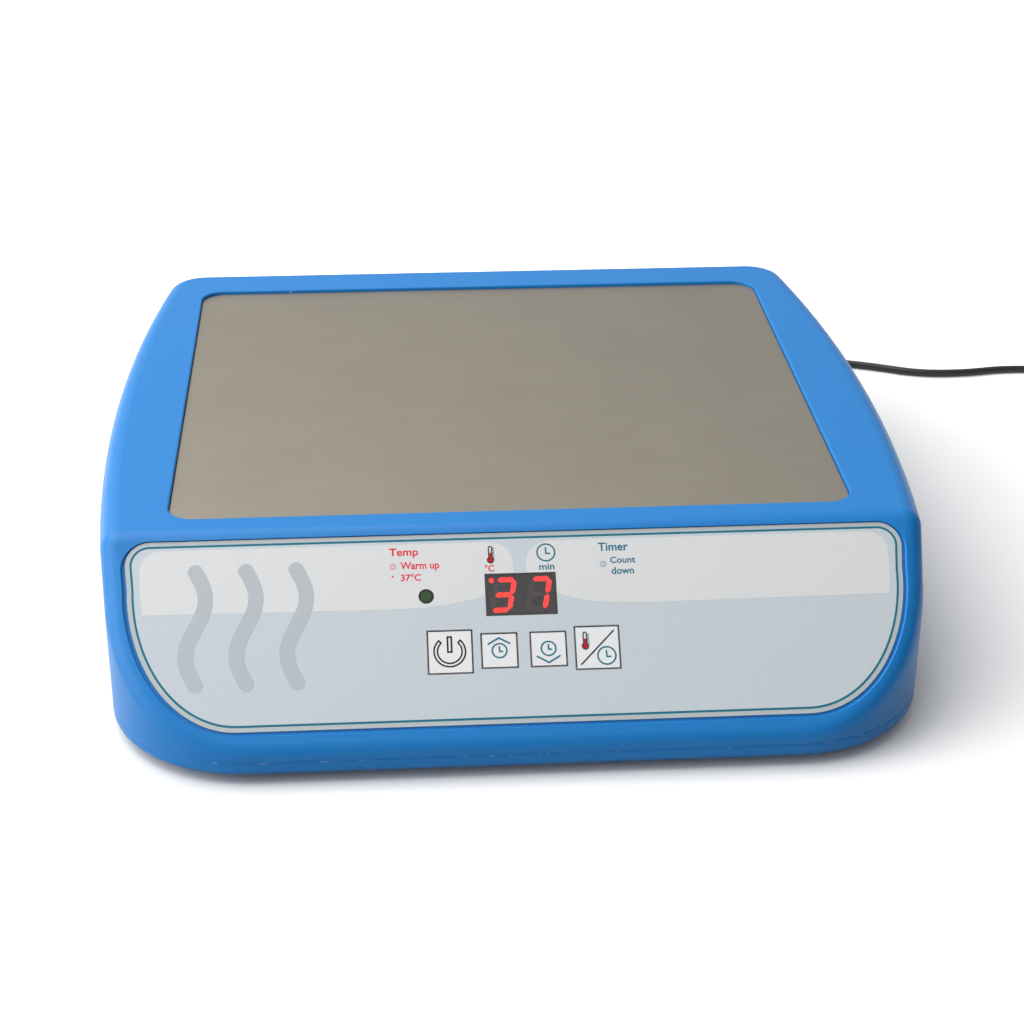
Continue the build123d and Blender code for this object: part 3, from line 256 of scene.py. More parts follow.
# Adapter: a moulded black box of two shells with a bead where they meet, ribs for the fingers, a
# bare framed panel and two nickel-plated blades of stamped brass. Its spark-eroded skin looks
# finely grained and takes a dull shine.
case = make_finish("textured polycarbonate", "#161617", "#262628", 0.4, 0.03, Roughness=0.5)[0]
nickel = make_finish("nickel plate", "#b5afa2", "#cbc6ba", 3, Metallic=1.0, Roughness=0.25)[0]
coat(case, "power_adapter")
coat(nickel, "adapter_blades")
trims = [
    ("adapter_bead", (287, 22, 22.1), (0.6, 76.3, 44.1), 3),
    ("adapter_panel", (271.4, 22, 22), (0.4, 44, 28), 0.12),
]
for number in range(5):
    rib_x = 275.5 + 2 * number
    trims.append((f"adapter_rib_{number}", (rib_x, 22, 43.95), (0.8, 46, 0.7), 0.2))
for trim_name, trim_middle, trim_size, trim_round in trims:
    bpy.ops.object.select_all(action="DESELECT")
    bpy.ops.mesh.primitive_cube_add(
        size=1, location=[v / 1000 for v in trim_middle], scale=[v / 1000 for v in trim_size]
    )
    trim = bpy.context.object
    trim.name = trim_name
    bpy.ops.object.transform_apply(location=True, rotation=True, scale=True)
    for edge in trim.data.edges:
        one_end, other_end = (trim.data.vertices[v].co for v in edge.vertices)
        runs_along_x = abs(one_end.x - other_end.x) > 0.0001
        edge.select = trim_name != "adapter_bead" or runs_along_x
    bpy.ops.object.mode_set(mode="EDIT")
    bpy.ops.mesh.bevel(offset=trim_round / 1000, segments=4)
    if trim_name == "adapter_panel":
        bpy.ops.object.mode_set(mode="OBJECT")
        for face in trim.data.polygons:
            face.select = face.normal.x < -0.99
        bpy.ops.object.mode_set(mode="EDIT")
        bpy.ops.mesh.inset(thickness=0.001)
        bpy.ops.transform.translate(value=(0.00015, 0, 0))
    settle(trim, case, "adapter_black")

# Bench and light: a pale bench under a white surround, a large soft lamp overhead at the left, a
# low one beside it, and a sky that is brightest at the back left. The bench looks white to the
# camera and in mirrors, and its glow, seen there alone, grows away from the plate.
bpy.ops.object.select_all(action="DESELECT")
bpy.ops.mesh.primitive_plane_add(size=8, location=(0, 0, 0))
bench = bpy.context.object
bench.name = "bench"
bench_paint, bench_shader, bench_place, bench_tone = make_finish(
    "matt pale bench", "#9a9a9a", "#9e9e9e", 3, Roughness=0.9
)
bench_path = add_node(bench_paint, "LightPath")
mirrored = add_node(
    bench_paint,
    "Math",
    {0: bench_path.outputs["Is Camera Ray"], 1: bench_path.outputs["Is Glossy Ray"]},
    operation="MAXIMUM",
)
bench_colour = add_node(
    bench_paint,
    "Mix",
    {0: mirrored.outputs[0], 6: bench_tone, 7: linear("#fcfcfc")},
    data_type="RGBA",
)
bench_reach = add_node(bench_paint, "VectorMath", {0: bench_place}, operation="LENGTH")
bench_far = add_node(
    bench_paint,
    "MapRange",
    {0: bench_reach.outputs["Value"], "From Min": 0.14, "From Max": 0.4, "To Max": 0.6},
    interpolation_type="SMOOTHSTEP",
)
bench_glow = add_node(
    bench_paint, "Math", {0: bench_far.outputs[0], 1: mirrored.outputs[0]}, operation="MULTIPLY"
)
bench_shader.inputs["Emission Color"].default_value = (1, 1, 1, 1)
bench_paint.node_tree.links.new(bench_colour.outputs[2], bench_shader.inputs["Base Color"])
bench_paint.node_tree.links.new(bench_glow.outputs[0], bench_shader.inputs["Emission Strength"])
bench.data.materials.append(bench_paint)

for lamp_name, lamp_place, lamp_size, lamp_power in (
    ("overhead lamp", (-0.4, 0.1, 0.85), 1.1, 8.6),
    ("side lamp", (-1.2, -0.3, 0.35), 1.0, 6.5),
):
    lamp_aim = (Vector((0, 0, 0.02)) - Vector(lamp_place)).to_track_quat("-Z", "Y")
    bpy.ops.object.light_add(type="AREA", location=lamp_place, rotation=lamp_aim.to_euler())
    lamp = bpy.context.object
    lamp.name = lamp_name
    lamp.data.size = lamp_size
    lamp.data.energy = lamp_power

sky = bpy.data.worlds.new("studio surround")
bpy.context.scene.world = sky
sky.use_nodes = True
sky_light = sky.node_tree.nodes["Background"]
sky_light.inputs["Color"].default_value = (1, 1, 1, 1)
sky_path = add_node(sky, "LightPath")
sky_way = add_node(sky, "TexCoord").outputs["Generated"]
sky_side = add_node(sky, "VectorMath", {0: sky_way, 1: (-0.9, 0.2, 0.35)}, operation="DOT_PRODUCT")
sky_even = add_node(
    sky,
    "MapRange",
    {0: sky_side.outputs["Value"], "From Min": -1.0, "To Min": 0.02, "To Max": 0.88},
)
sky_shine = add_node(
    sky,
    "Math",
    {0: sky_path.outputs["Is Glossy Ray"], 1: sky_path.outputs["Is Transmission Ray"]},
    operation="MAXIMUM",
)
sky_gain = add_node(sky, "MapRange", {0: sky_shine.outputs[0], "To Min": 1.0, "To Max": 1.05})
sky_lit = add_node(
    sky, "Math", {0: sky_even.outputs[0], 1: sky_gain.outputs[0]}, operation="MULTIPLY"
)
sky_strength = add_node(
    sky,
    "Math",
    {0: sky_lit.outputs[0], 1: sky_path.outputs["Is Camera Ray"]},
    operation="MAXIMUM",
)
sky.node_tree.links.new(sky_strength.outputs[0], sky_light.inputs["Strength"])
bpy.context.scene.view_settings.view_transform = "Standard"

# Feet: four black rubber discs, moulded with a rounded rim and a shallow cup that grips the
# bench, and pressed into seats under the base. They are dull and a little dusty.
rubber = make_finish("moulded rubber", "#1b1b1c", "#343435", 2.5, 0.08, Roughness=0.8)[0]
foot_rings = [(0.5, 3.6), (0.2, 4.4), (0, 4.8), (0, 7.1), (0.15, 7.5), (0.6, 7.9), (1.2, 8)]
foot_rings += [(3.8, 8)]
for foot_name, foot_x, foot_y in (
    ("foot_front_left", -0.088, -0.11),
    ("foot_front_right", 0.088, -0.11),
    ("foot_rear_left", -0.088, 0.11),
    ("foot_rear_right", 0.088, 0.11),
):
    settle(
        turn_piece("rubber_" + foot_name, foot_rings),
        rubber,
        "foot_rubber",
        foot_name,
        place=Matrix.Translation((foot_x, foot_y, 0)),
    )

# Casing screws: four zinc-plated steel pan heads with a cross recess, driven up from below
# through the base into bosses of the cover. The plating is bright, with a faint blue cast.
zinc = make_finish(
    "bright zinc plate", "#b3b9c2", "#d2d6dc", 1.2, 0.01, Metallic=1.0, Roughness=0.3
)[0]
head_rings = [(6.02, 1.3), (6.2, 2), (6.6, 2.55), (7, 2.8), (8, 2.8), (8, 1.5), (20.6, 1.5)]
head_rings += [(21, 1.1)]
recess_arm = (0.0028, 0.0006, 0.0018)
for number, (screw_x, screw_y) in enumerate(((-100, -90), (100, -90), (-96, 119.5), (96, 119.5))):
    screw = turn_piece(f"housing_screw_{number}", head_rings, 24)
    bpy.ops.object.mode_set(mode="OBJECT")
    for arm_turn in (0, math.pi / 2):
        bpy.ops.object.select_all(action="DESELECT")
        bpy.ops.mesh.primitive_cube_add(
            size=1, location=(0, 0, 0.0063), rotation=(0, 0, arm_turn), scale=recess_arm
        )
        recess = bpy.context.object
        bpy.ops.object.mode_set(mode="EDIT")
        bpy.ops.mesh.bevel(offset=0.00012, segments=2)
        bpy.ops.object.mode_set(mode="OBJECT")
        bpy.context.view_layer.objects.active = screw
        cut = screw.modifiers.new("recess", "BOOLEAN")
        cut.operation = "DIFFERENCE"
        cut.object = recess
        bpy.ops.object.modifier_apply(modifier=cut.name)
        bpy.data.objects.remove(recess)
    screw_place = Matrix.Translation((screw_x / 1000, screw_y / 1000, 0))
    screw.select_set(True)
    settle(screw, zinc, "zinc_steel", "housing_screws", place=screw_place)

# Casing: two shells of injection-moulded ABS, blue through their whole thickness, with a satin
# spark-eroded skin. It has a few pale specks of dust, and pale chips along the seam, where it is
# picked up.
shell, shell_shader, shell_place, shell_tone = make_finish(
    "moulded satin ABS", "#0c78c4", "#107eca", 0.45, 0.012, Roughness=0.4, IOR=1.42
)
speck_spacing, chip_length = 14, 4
speck = add_node(shell, "TexVoronoi", {"Vector": shell_place, "Scale": 1000 / speck_spacing})
speck_mask = add_node(
    shell, "MapRange", {0: speck.outputs["Distance"], "From Min": 0.06, "From Max": 0.02}
)
speck_pick = add_node(
    shell, "MapRange", {0: speck.outputs["Color"], "From Min": 0.72, "From Max": 0.78}
)
specks = add_node(
    shell, "Math", {0: speck_mask.outputs[0], 1: speck_pick.outputs[0]}, operation="MULTIPLY"
)
seam_level = 0.0073
above_bench = add_node(shell, "SeparateXYZ", {"Vector": shell_place})
seam_offset = add_node(
    shell, "Math", {0: above_bench.outputs["Z"], 1: seam_level}, operation="SUBTRACT"
)
seam_reach = add_node(shell, "Math", {0: seam_offset.outputs[0]}, operation="ABSOLUTE")
seam_zone = add_node(
    shell, "MapRange", {0: seam_reach.outputs[0], "From Min": 0.0003, "From Max": 0.0001}
)
chip = add_node(
    shell, "TexNoise", {"Vector": shell_place, "Scale": 1000 / chip_length, "Detail": 8}
)
chip_pick = add_node(
    shell, "MapRange", {0: chip.outputs["Fac"], "From Min": 0.57, "From Max": 0.64}
)
chips = add_node(
    shell, "Math", {0: seam_zone.outputs[0], 1: chip_pick.outputs[0]}, operation="MULTIPLY"
)
wear = add_node(shell, "Math", {0: chips.outputs[0], 1: specks.outputs[0]}, operation="MAXIMUM")
wear_soft = add_node(shell, "Math", {0: wear.outputs[0], 1: 0.45}, operation="MULTIPLY")
shell_colour = add_node(
    shell,
    "Mix",
    {0: wear_soft.outputs[0], 6: shell_tone, 7: linear("#a9c6e8")},
    data_type="RGBA",
)
shell.node_tree.links.new(shell_colour.outputs[2], shell_shader.inputs["Base Color"])
coat(shell, "top_cover", "base_pan")

# Inlet: a moulded black socket in the rear wall, drawn tight by a ring nut. Glass-filled nylon
# leaves it with a dull, slightly grainy skin.
nylon = make_finish("black glass-filled nylon", "#171718", "#29292b", 0.4, 0.03, Roughness=0.55)[0]
coat(nylon, "power_jack", "jack_nut")

# Heated plate: 4 mm aluminium, brushed from side to side and clear anodised to a warm grey. Its
# flange is clamped below the cover. The brushing is drawn coarser than it is, 0.5 mm apart and
# 80 mm long, so that it shows.
plate, plate_shader, plate_place, plate_tone = make_finish(
    "brushed anodised aluminium", "#a29b8f", "#ada699", 30, Metallic=1.0
)
stroke_length, stroke_gap = 80, 0.5
stroke_scale = (1000 / stroke_length, 1000 / stroke_gap, 1000 / stroke_gap)
stroke_place = add_node(plate, "Mapping", {"Vector": plate_place, "Scale": stroke_scale})
strokes = add_node(
    plate, "TexNoise", {"Vector": stroke_place.outputs[0], "Scale": 1, "Detail": 4}
)
stroke_amount = add_node(
    plate, "MapRange", {0: strokes.outputs["Fac"], "From Min": 0.3, "From Max": 0.8, "To Max": 0.3}
)
plate_colour = add_node(
    plate,
    "Mix",
    {0: stroke_amount.outputs[0], 6: plate_tone, 7: linear("#8a8479")},
    data_type="RGBA",
)
plate_rough = add_node(
    plate, "MapRange", {0: strokes.outputs["Fac"], "To Min": 0.42, "To Max": 0.56}
)
plate_bump = add_node(
    plate, "Bump", {"Height": strokes.outputs["Fac"], "Strength": 0.15, "Distance": 0.00004}
)
plate.node_tree.links.new(plate_colour.outputs[2], plate_shader.inputs["Base Color"])
plate.node_tree.links.new(plate_rough.outputs[0], plate_shader.inputs["Roughness"])
plate.node_tree.links.new(plate_bump.outputs[0], plate_shader.inputs["Normal"])
coat(plate, "heating_plate")

# Stack below the plate: a silicone gasket, a milled spreader, an etched foil heater in silicone
# rubber, glass felt and a folded tray that screws clamp to the cover. A sensor sits in the
# spreader's bore and a cutout on the heater. None of it shows from outside.
for node_name, title, low, high, grain, relief, rough, metal in (
    ("plate_gasket", "moulded silicone", "#1c1c1d", "#2b2b2c", 1.5, 0.02, 0.7, 0),
    ("heat_spreader", "milled raw aluminium", "#a5a7a9", "#c3c5c7", 0.8, 0.01, 0.35, 1),
    ("foil_heater", "pressed silicone mat", "#a3401f", "#bb5430", 1.2, 0.05, 0.75, 0),
    ("insulation_pad", "needled glass felt", "#c4c1b6", "#e2dfd6", 0.6, 0.3, 0.95, 0),
    ("heater_tray", "folded galvanised sheet", "#8e9397", "#b4b9bd", 9, 0.02, 0.4, 1),
    ("tray_screws", "zinc on steel", "#b0b5bd", "#d0d4da", 0.5, 0.01, 0.3, 1),
    ("temperature_sensor", "drawn stainless sleeve", "#9da0a3", "#bdc0c2", 0.4, 0.01, 0.3, 1),
    ("thermal_cutout", "black phenolic", "#191818", "#2c2a29", 0.7, 0.03, 0.5, 0),
):
    finish = make_finish(title, low, high, grain, relief, Roughness=rough, Metallic=metal)
    coat(finish[0], node_name)

# Control board: glass epoxy under green solder mask, on posts behind the panel. Its parts are
# soldered on: an epoxy chip, sleeved capacitors, a buzzer, a transistor on its black anodised
# sink, tact switches and nylon plugs with their wires.
for node_name, title, low, high, grain, relief, rough, metal in (
    ("control_board", "green solder mask", "#0f4a2c", "#1b6a40", 1.2, 0.03, 0.4, 0),
    ("board_screws", "zinc on small screws", "#b2b6bc", "#d0d3d8", 0.5, 0.01, 0.3, 1),
    ("controller_chip", "moulded black epoxy", "#161617", "#252527", 0.3, 0.02, 0.6, 0),
    ("buzzer", "glossy black moulding", "#121213", "#202022", 0.8, 0.01, 0.35, 0),
    ("capacitors", "shrunk black sleeve", "#1a1d26", "#2a2e3a", 1, 0.01, 0.4, 0),
    ("power_transistor", "transfer-moulded epoxy", "#141414", "#262626", 0.3, 0.02, 0.6, 0),
    ("transistor_heat_sink", "black anodised extrusion", "#19191a", "#2b2b2d", 0.6, 0.02, 0.5, 0.6),
    ("board_connectors", "natural white nylon", "#d9d5c8", "#ebe8de", 1.2, 0.02, 0.5, 0),
    ("power_leads", "red wire insulation", "#a01c1c", "#bd2a28", 2, 0.02, 0.55, 0),
    ("heater_leads", "red glass-sleeved wire", "#96201d", "#b63a31", 0.5, 0.08, 0.8, 0),
    ("sensor_leads", "white silicone wire", "#d6d5d0", "#ebeae6", 2, 0.01, 0.4, 0),
):
    finish = make_finish(title, low, high, grain, relief, Roughness=rough, Metallic=metal)
    coat(finish[0], node_name)
coat(nylon, "switch_bodies", "power_switch_button", "up_switch_button")
coat(nylon, "down_switch_button", "mode_switch_button")

# Panel overlay: a half-millimetre polyester sheet with a fine pebbled face, light grey, die cut
# with openings for the display, the lamp and the keys, and stuck in the casing's bed.
film = make_finish("pebbled polyester film", "#b3bbbd", "#bdc5c7", 0.7, 0.015, Roughness=0.45)[0]
coat(film, "panel_overlay")

# Printed fields: the lower part of the panel is blue-grey inside a teal line, and two paler
# fields above it curve away from the display. They are screen printed, edge to edge, in thin
# layers of ink that keep the pebbles and stay clear of every opening.
inks = {}
for ink_name, low, high in (
    ("grey ink", "#c3ccd3", "#cbd4da"),
    ("pale ink", "#d8d9da", "#e0e1e2"),
    ("shadow ink", "#b2bac0", "#bbc3c8"),
    ("teal ink", "#006a80", "#00758c"),
    ("red ink", "#de1a2e", "#e62a3a"),
    ("dark red ink", "#b00514", "#c00c1c"),
    ("black ink", "#141416", "#1f1f21"),
):
    inks[ink_name] = make_finish(ink_name, low, high, 0.7, 0.01, Roughness=0.6, IOR=1.4)[0]

panel_edge = (0, -0.083458, 0.055)
panel_tilt = math.radians(43)
panel_frame = Matrix.Translation(panel_edge) @ Matrix.Rotation(panel_tilt, 4, "X")
ink_depth = 0.008
first_lift, layer_lift = 0.000012, 0.00002


def place_print(piece, ink, body, layer):
    """Turn a flat drawing in millimetres into a thin solid on the panel, in its layer."""
    bpy.ops.object.select_all(action="DESELECT")
    piece.select_set(True)
    bpy.context.view_layer.objects.active = piece
    bpy.ops.object.convert(target="MESH")
    piece = bpy.context.object
    lift = Matrix.Translation((0, 0, first_lift + layer_lift * layer))
    piece.data.transform(panel_frame @ lift @ Matrix.Scale(0.001, 4))
    piece.data.materials.clear()
    piece.data.materials.append(inks[ink])
    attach(piece, body)
    return piece


def print_shapes(name, loops, ink, layer=1, body="casing", depth=ink_depth):
    """Print closed loops of points, across and down the slope in millimetres."""
    drawing = bpy.data.curves.new(name, "CURVE")
    drawing.dimensions = "2D"
    drawing.fill_mode = "BOTH"
    drawing.extrude = depth
    for loop in loops:
        spline = drawing.splines.new("POLY")
        spline.points.add(len(loop) - 1)
        for point, (x, t) in zip(spline.points, loop):
            point.co = (x, -t, 0, 1)
        spline.use_cyclic_u = True
    piece = bpy.data.objects.new(name, drawing)
    bpy.context.collection.objects.link(piece)
    return place_print(piece, ink, body, layer)


def round_loop(x, t, radius, sides=32, start=0.0, end=2 * math.pi):
    """Points round a circle, or along an arc, from the right and down the slope."""
    steps = sides if end - start >= 2 * math.pi else sides + 1
    span = (end - start) / sides
    angles = [start + span * n for n in range(steps)]
    return [(x + radius * math.cos(a), t + radius * math.sin(a)) for a in angles]


def box_loop(left, top, right, bottom):
    """The corners of a box."""
    return [(left, top), (right, top), (right, bottom), (left, bottom)]


def overlay_loop(inset):
    """The overlay's outline, moved in by inset, from its right top corner clockwise."""
    corner_x, corner_t = 81.59, 15.92
    across, down = 31.5 - inset, 43.07 - inset
    top_x, top_t, top_radius = 106.75, 8.5, 7 - inset
    half = round_loop(top_x, top_t, top_radius, 10, -math.pi / 2, 0)
    for n in range(25):
        a = math.pi / 2 * n / 24
        half.append((corner_x + across * math.cos(a), corner_t + down * math.sin(a)))
    return half + [(-x, t) for x, t in reversed(half)]


lamp_x, lamp_t, lamp_radius = -27.1, 20.4, 2.15
key_row, key_slit = 37.35, 0.15
keys = (("power", -20.8, 6.5), ("up", -6.6, 5.25), ("down", 7.55, 5.25), ("mode", 21.7, 6.5))
lamp_opening = round_loop(lamp_x, lamp_t, lamp_radius)
openings = [box_loop(-9.95, 14.05, 10.85, 26.95), lamp_opening]
for key_name, key_x, key_half in keys:
    half = key_half + key_slit
    openings.append(box_loop(key_x - half, key_row - half, key_x + half, key_row + half))
print_shapes("field_ground", [overlay_loop(1.55), *openings], "grey ink", layer=0)
print_shapes("border_line", [overlay_loop(1.3), overlay_loop(1.95)], "teal ink", layer=1)
left_field = [
    (-108.6, 23.6),
    (-109.4, 16),
    (-109.5, 9.5),
    (-108.2, 6.2),
    (-105, 4.3),
    (-9, 4.3),
    (-5.6, 4.9),
    (-3, 6.5),
    (-1.7, 9),
    (-1.3, 12),
    (-1.5, 14),
    (-9.98, 14),
    (-9.98, 20.8),
    (-15, 22),
    (-21, 23.1),
    (-28, 23.8),
    (-36, 24.1),
]
right_field = [
    (2.5, 14),
    (2.3, 10.5),
    (3, 8),
    (4.6, 6.2),
    (7, 4.9),
    (10, 4.3),
    (105, 4.3),
    (108.2, 6.2),
    (109.5, 9.5),
    (109.4, 16),
    (108.6, 23.6),
    (36, 24.2),
    (28, 23.9),
    (21, 23.2),
    (15, 22),
    (10.88, 20.4),
    (10.88, 14),
]
print_shapes("upper_field_left", [left_field, lamp_opening], "pale ink")
print_shapes("upper_field_right", [right_field], "pale ink")

# Heat sign: three broad waves with round ends, in a pale shadow ink, rise at the left of the
# panel. They are printed over both fields.


def stroke_loop(points, width, round_ends=False):
    """The outline of a line of even width along points, with square or round ends."""
    lines = [Vector(p) for p in points]
    left, right = [], []
    for n, p in enumerate(lines):
        ways = []
        if n > 0:
            ways.append((p - lines[n - 1]).normalized())
        if n < len(lines) - 1:
            ways.append((lines[n + 1] - p).normalized())
        way = sum(ways, Vector((0, 0))).normalized()
        side = Vector((-way.y, way.x)) * width / 2 / way.dot(ways[0])
        left.append(tuple(p + side))
        right.append(tuple(p - side))
    caps = [[], []]
    if round_ends:
        for cap, end, inner in ((0, lines[-1], lines[-2]), (1, lines[0], lines[1])):
            way = (end - inner).normalized()
            first = math.atan2(way.y, way.x) + math.pi / 2
            arc = [first - math.pi * n / 12 for n in range(1, 12)]
            caps[cap] = [
                (end.x + width / 2 * math.cos(a), end.y + width / 2 * math.sin(a)) for a in arc
            ]
    return left + caps[0] + right[::-1] + caps[1]


wave_top, wave_rise, wave_sway, wave_width, wave_steps = 11, 34, 2.9, 4.4, 24
for number, wave_x in enumerate((-93.5, -79, -64.5)):
    wave = []
    for n in range(wave_steps + 1):
        sway = wave_sway * math.sin(n / wave_steps * 2 * math.pi)
        wave.append((wave_x + sway, wave_top + wave_rise * n / wave_steps))
    print_shapes(f"heat_wave_{number}", [stroke_loop(wave, wave_width, True)], "shadow ink", 2)

# Signs on the panel: temperature at the left of the display in red, time at its right in teal.
# Each is a word or a small picture of generic kind, printed in one colour. A box gives a word's
# left, right, top and bottom.


def print_words(name, words, box, ink):
    """Print words so that they fill a box."""
    bpy.ops.object.select_all(action="DESELECT")
    bpy.ops.object.text_add()
    piece = bpy.context.object
    piece.name = name
    piece.data.body = words
    piece.data.extrude = ink_depth
    piece.data.offset = 0.02
    piece.data.resolution_u = 4
    bpy.ops.object.convert(target="MESH")
    points = [vertex.co for vertex in piece.data.vertices]
    low_x, high_x = min(p.x for p in points), max(p.x for p in points)
    low_y, high_y = min(p.y for p in points), max(p.y for p in points)
    left, right, top, bottom = box
    wide, tall = (right - left) / (high_x - low_x), (bottom - top) / (high_y - low_y)
    fit = Matrix.Translation((left, -bottom, 0)) @ Matrix.Diagonal((wide, tall, 1, 1))
    piece.data.transform(fit @ Matrix.Translation((-low_x, -low_y, 0)))
    return place_print(piece, ink, "casing", 2)


for word_name, words, word_box, word_ink in (
    ("word_temp", "Temp", (-37.5, -29, 5.45, 8.55), "red ink"),
    ("word_warm_up", "Warm up", (-34.3, -23, 9.7, 12.7), "red ink"),
    ("word_set_point", "37°C", (-34.3, -28.4, 13.4, 15.6), "red ink"),
    ("word_degrees", "°C", (-9.8, -7, 11.3, 13.4), "red ink"),
    ("word_timer", "Timer", (23.7, 32.5, 5.45, 8.1), "teal ink"),
    ("word_count", "Count", (27, 34.4, 9.9, 11.9), "teal ink"),
    ("word_down", "down", (27.2, 33.8, 13.1, 15.3), "teal ink"),
    ("word_minutes", "min", (6.1, 10.6, 11.4, 13.3), "teal ink"),
):
    print_words(word_name, words, word_box, word_ink)
for burst_name, burst_x, burst_t, burst_ink in (
    ("burst_temp", -36.5, 11.1, "red ink"),
    ("burst_timer", 24.9, 12.1, "teal ink"),
):
    middle = Vector((burst_x, burst_t))
    rays = []
    for n in range(8):
        out = Vector((math.cos(math.pi * n / 4), math.sin(math.pi * n / 4)))
        rays.append(stroke_loop([middle + out * 0.4, middle + out * 1.05], 0.2))
    print_shapes(burst_name, rays, burst_ink, layer=2)
print_shapes("dot_temp", [round_loop(-36.6, 14.1, 0.3, 12)], "red ink", layer=2)
print_shapes(
    "lamp_ring", [lamp_opening, round_loop(lamp_x, lamp_t, 2.24)], "black ink", layer=2
)


def clock_loops(x, t, radius, line=0.46):
    """A clock: a ring, and two hands as one bent stroke."""
    hands = [(x - 0.02 * radius, t - 0.62 * radius), (x, t + 0.12 * radius)]
    hands += [(x + 0.48 * radius, t + 0.12 * radius)]
    rim = [round_loop(x, t, radius + line / 2), round_loop(x, t, radius - line / 2)]
    return rim + [stroke_loop(hands, line)]


def thermometer(name, x, top, bottom, body="casing"):
    """A thermometer: black outline and marks, and a dark red bulb and column."""
    bulb, stem, line = 1.05, 0.62, 0.3
    bulb_t = bottom - bulb

    def outline(grow):
        neck = math.acos((stem + grow) / (bulb + grow))
        upper = round_loop(x, top + stem, stem + grow, 10, math.pi, 2 * math.pi)
        lower = round_loop(x, bulb_t, bulb + grow, 20, -neck, math.pi + neck)
        return upper + lower

    print_shapes(name + "_outline", [outline(0), outline(-line)], "black ink", 4, body)
    half = stem - line
    column = round_loop(x, bulb_t, bulb - line, 20, -1.2, math.pi + 1.2)
    column_top = 0.6 * top + 0.4 * bottom
    column += [(x - half, column_top), (x + half, column_top)]
    print_shapes(name + "_column", [column], "dark red ink", 3, body)
    marks = []
    for n in range(6):
        mark_t = top + 0.8 + n * (bulb_t - top - 1.4) / 5
        marks.append(stroke_loop([(x + stem, mark_t), (x + stem + 0.6, mark_t)], 0.2))
    print_shapes(name + "_marks", marks, "black ink", 3, body)


thermometer("thermometer_display", -8.0, 5.5, 10.9)
print_shapes("clock_display", clock_loops(8.3, 8, 2.6), "teal ink", layer=2)

# Display: a two-digit seven-segment module in dark grey epoxy behind a clear window. The lit
# bars glow red through their resin; the others are only a shade lighter than the face.
epoxy = make_finish("dark display epoxy", "#322f33", "#3e3a3e", 1.2, Roughness=0.5)[0]
coat(epoxy, "display_module")
window, window_shader = make_finish(
    "clear polycarbonate", "#f2eeee", "#f6f2f2", 15, IOR=1.58, Transmission_Weight=1.0
)[:2]
window_shader.inputs["Roughness"].default_value = 0.06
coat(window, "display_window")
lit, lit_shader, _, lit_tone = make_finish(
    "lit segment resin", "#ee1a16", "#ff3a30", 2, Roughness=0.4, Emission_Strength=0.9
)
lit.node_tree.links.new(lit_tone, lit_shader.inputs["Emission Color"])
inks["lit"] = lit
inks["unlit"] = make_finish("unlit segment resin", "#4a474a", "#545154", 2, Roughness=0.45)[0]

digit_row, digit_lean = 20.4, math.tan(math.radians(11.5))
bar_x, bar_t, bar_half, bar_gap = 2.55, 4.6, 0.75, 0.12
bars = {
    "top": ((-bar_x, -bar_t), (bar_x, -bar_t)),
    "middle": ((-bar_x, 0), (bar_x, 0)),
    "bottom": ((-bar_x, bar_t), (bar_x, bar_t)),
    "upper_left": ((-bar_x, 0), (-bar_x, -bar_t)),
    "upper_right": ((bar_x, 0), (bar_x, -bar_t)),
    "lower_left": ((-bar_x, bar_t), (-bar_x, 0)),
    "lower_right": ((bar_x, bar_t), (bar_x, 0)),
}
digits = {
    -4.7: ("top", "middle", "bottom", "upper_right", "lower_right"),
    5.6: ("top", "upper_right", "lower_right"),
}
bar_loops = {"lit": [round_loop(-7.95, 15.9, 0.8, 20)], "unlit": []}
for digit_x, lit_bars in digits.items():
    for bar_name, (bar_start, bar_end) in bars.items():
        start, end = Vector(bar_start), Vector(bar_end)
        way = (end - start).normalized()
        side = Vector((-way.y, way.x)) * bar_half
        start, end, neck = start + way * bar_gap, end - way * bar_gap, way * bar_half
        corners = [start, start + neck + side, end - neck + side, end]
        corners += [end - neck - side, start + neck - side]
        state = "lit" if bar_name in lit_bars else "unlit"
        bar_loops[state].append(
            [(digit_x + c.x - digit_lean * c.y, digit_row + c.y) for c in corners]
        )
for state, loops in bar_loops.items():
    digit_bars = print_shapes(state + "_bars", loops, state, layer=-45, depth=0.1)
    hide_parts("display_segments")

# Status lamp: an unlit lamp body behind a domed lens of dark green acrylic, pressed into the panel.
# Its paler middle is painted light: a brighter patch where light gets in, painted into the lens
# colour.
lens, lens_shader, lens_place, lens_tone = make_finish(
    "dark green acrylic", "#161e15", "#1e2c1c", 3, Roughness=0.2, IOR=1.49
)
lens_middle = panel_frame @ Vector((lamp_x / 1000, -lamp_t / 1000, 0))
lens_reach = add_node(
    lens, "VectorMath", {0: lens_place, 1: lens_middle}, operation="DISTANCE"
)
# Painted light: the lens colour turns paler towards its middle, where light gets in.
lens_painted_light = add_node(
    lens, "MapRange", {0: lens_reach.outputs["Value"], "From Min": 0.0018, "From Max": 0.0013}
)
lens_colour = add_node(
    lens, "Mix", {0: lens_painted_light.outputs[0], 6: lens_tone, 7: linear("#2d4c29")}, data_type="RGBA"
)
lens.node_tree.links.new(lens_colour.outputs[2], lens_shader.inputs["Base Color"])
coat(lens, "lamp_lens", "status_lamp")

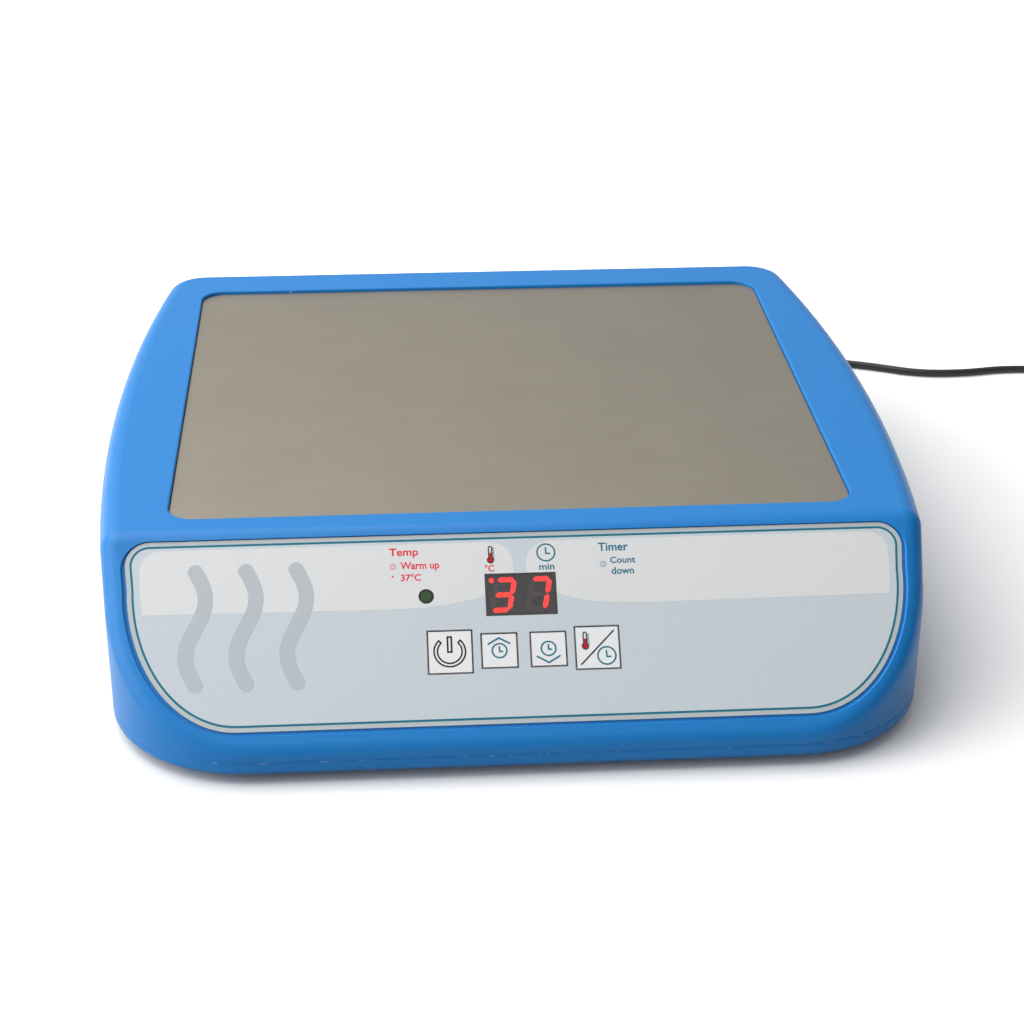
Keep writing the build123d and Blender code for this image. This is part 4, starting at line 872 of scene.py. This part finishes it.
# Keys: four square white caps, moulded with a satin face, each with a black outline and a
# printed sign that moves with it. Each sits on its own switch.
cap = make_finish("satin white key cap", "#e6e7e9", "#edeef0", 0.7, 0.008, Roughness=0.4)[0]
coat(cap, "power_key", "up_key", "down_key", "mode_key")
for key_name, key_x, key_half in keys:
    rim = []
    for inset, radius in ((0.04, 0.3), (0.34, 0.05)):
        half = key_half - inset - radius
        loop = []
        for n, (side_x, side_t) in enumerate(((1, 1), (-1, 1), (-1, -1), (1, -1))):
            corner = (key_x + side_x * half, key_row + side_t * half)
            loop += round_loop(*corner, radius, 6, n * math.pi / 2, (n + 1) * math.pi / 2)
        rim.append(loop)
    print_shapes(key_name + "_outline", rim, "black ink", 1, key_name + "_key_body")

ring_x, ring_t, ring_outer, ring_inner, ring_line = -20.9, 37.2, 4.75, 3.3, 0.46
ring_gap = math.radians(40)
ring = []
for grow in (0, ring_line):
    start = ring_gap - math.pi / 2 + grow / 4
    end = 2 * math.pi - ring_gap - math.pi / 2 - grow / 4
    outer = round_loop(ring_x, ring_t, ring_outer - grow, 48, start, end)
    inner = round_loop(ring_x, ring_t, ring_inner + grow, 48, start, end)
    ring.append(outer + inner[::-1])
power_bar = [box_loop(-21.7, 32.6, -20.1, 37.6), box_loop(-21.2, 33.1, -20.6, 37.1)]
up_chevron = stroke_loop([(-9.9, 35.4), (-6.65, 33.6), (-3.4, 35.4)], 0.5)
down_chevron = stroke_loop([(4, 39.4), (7.5, 41.4), (10.9, 39.4)], 0.5)
slash = stroke_loop([(16.7, 42.4), (26.75, 32.25)], 0.42)
for sign_name, sign_loops, sign_ink, sign_key in (
    ("sign_power", [*ring, *power_bar], "black ink", "power"),
    ("sign_up", [*clock_loops(-6.6, 37.4, 2.1), up_chevron], "teal ink", "up"),
    ("sign_down", [*clock_loops(7.55, 37.2, 2.1), down_chevron], "teal ink", "down"),
    ("sign_mode", clock_loops(24.25, 39.85, 2.6), "teal ink", "mode"),
    ("sign_slash", [slash], "black ink", "mode"),
):
    print_shapes(sign_name, sign_loops, sign_ink, 1, sign_key + "_key_body")
thermometer("thermometer_key", 18.2, 32.5, 37.9, "mode_key_body")
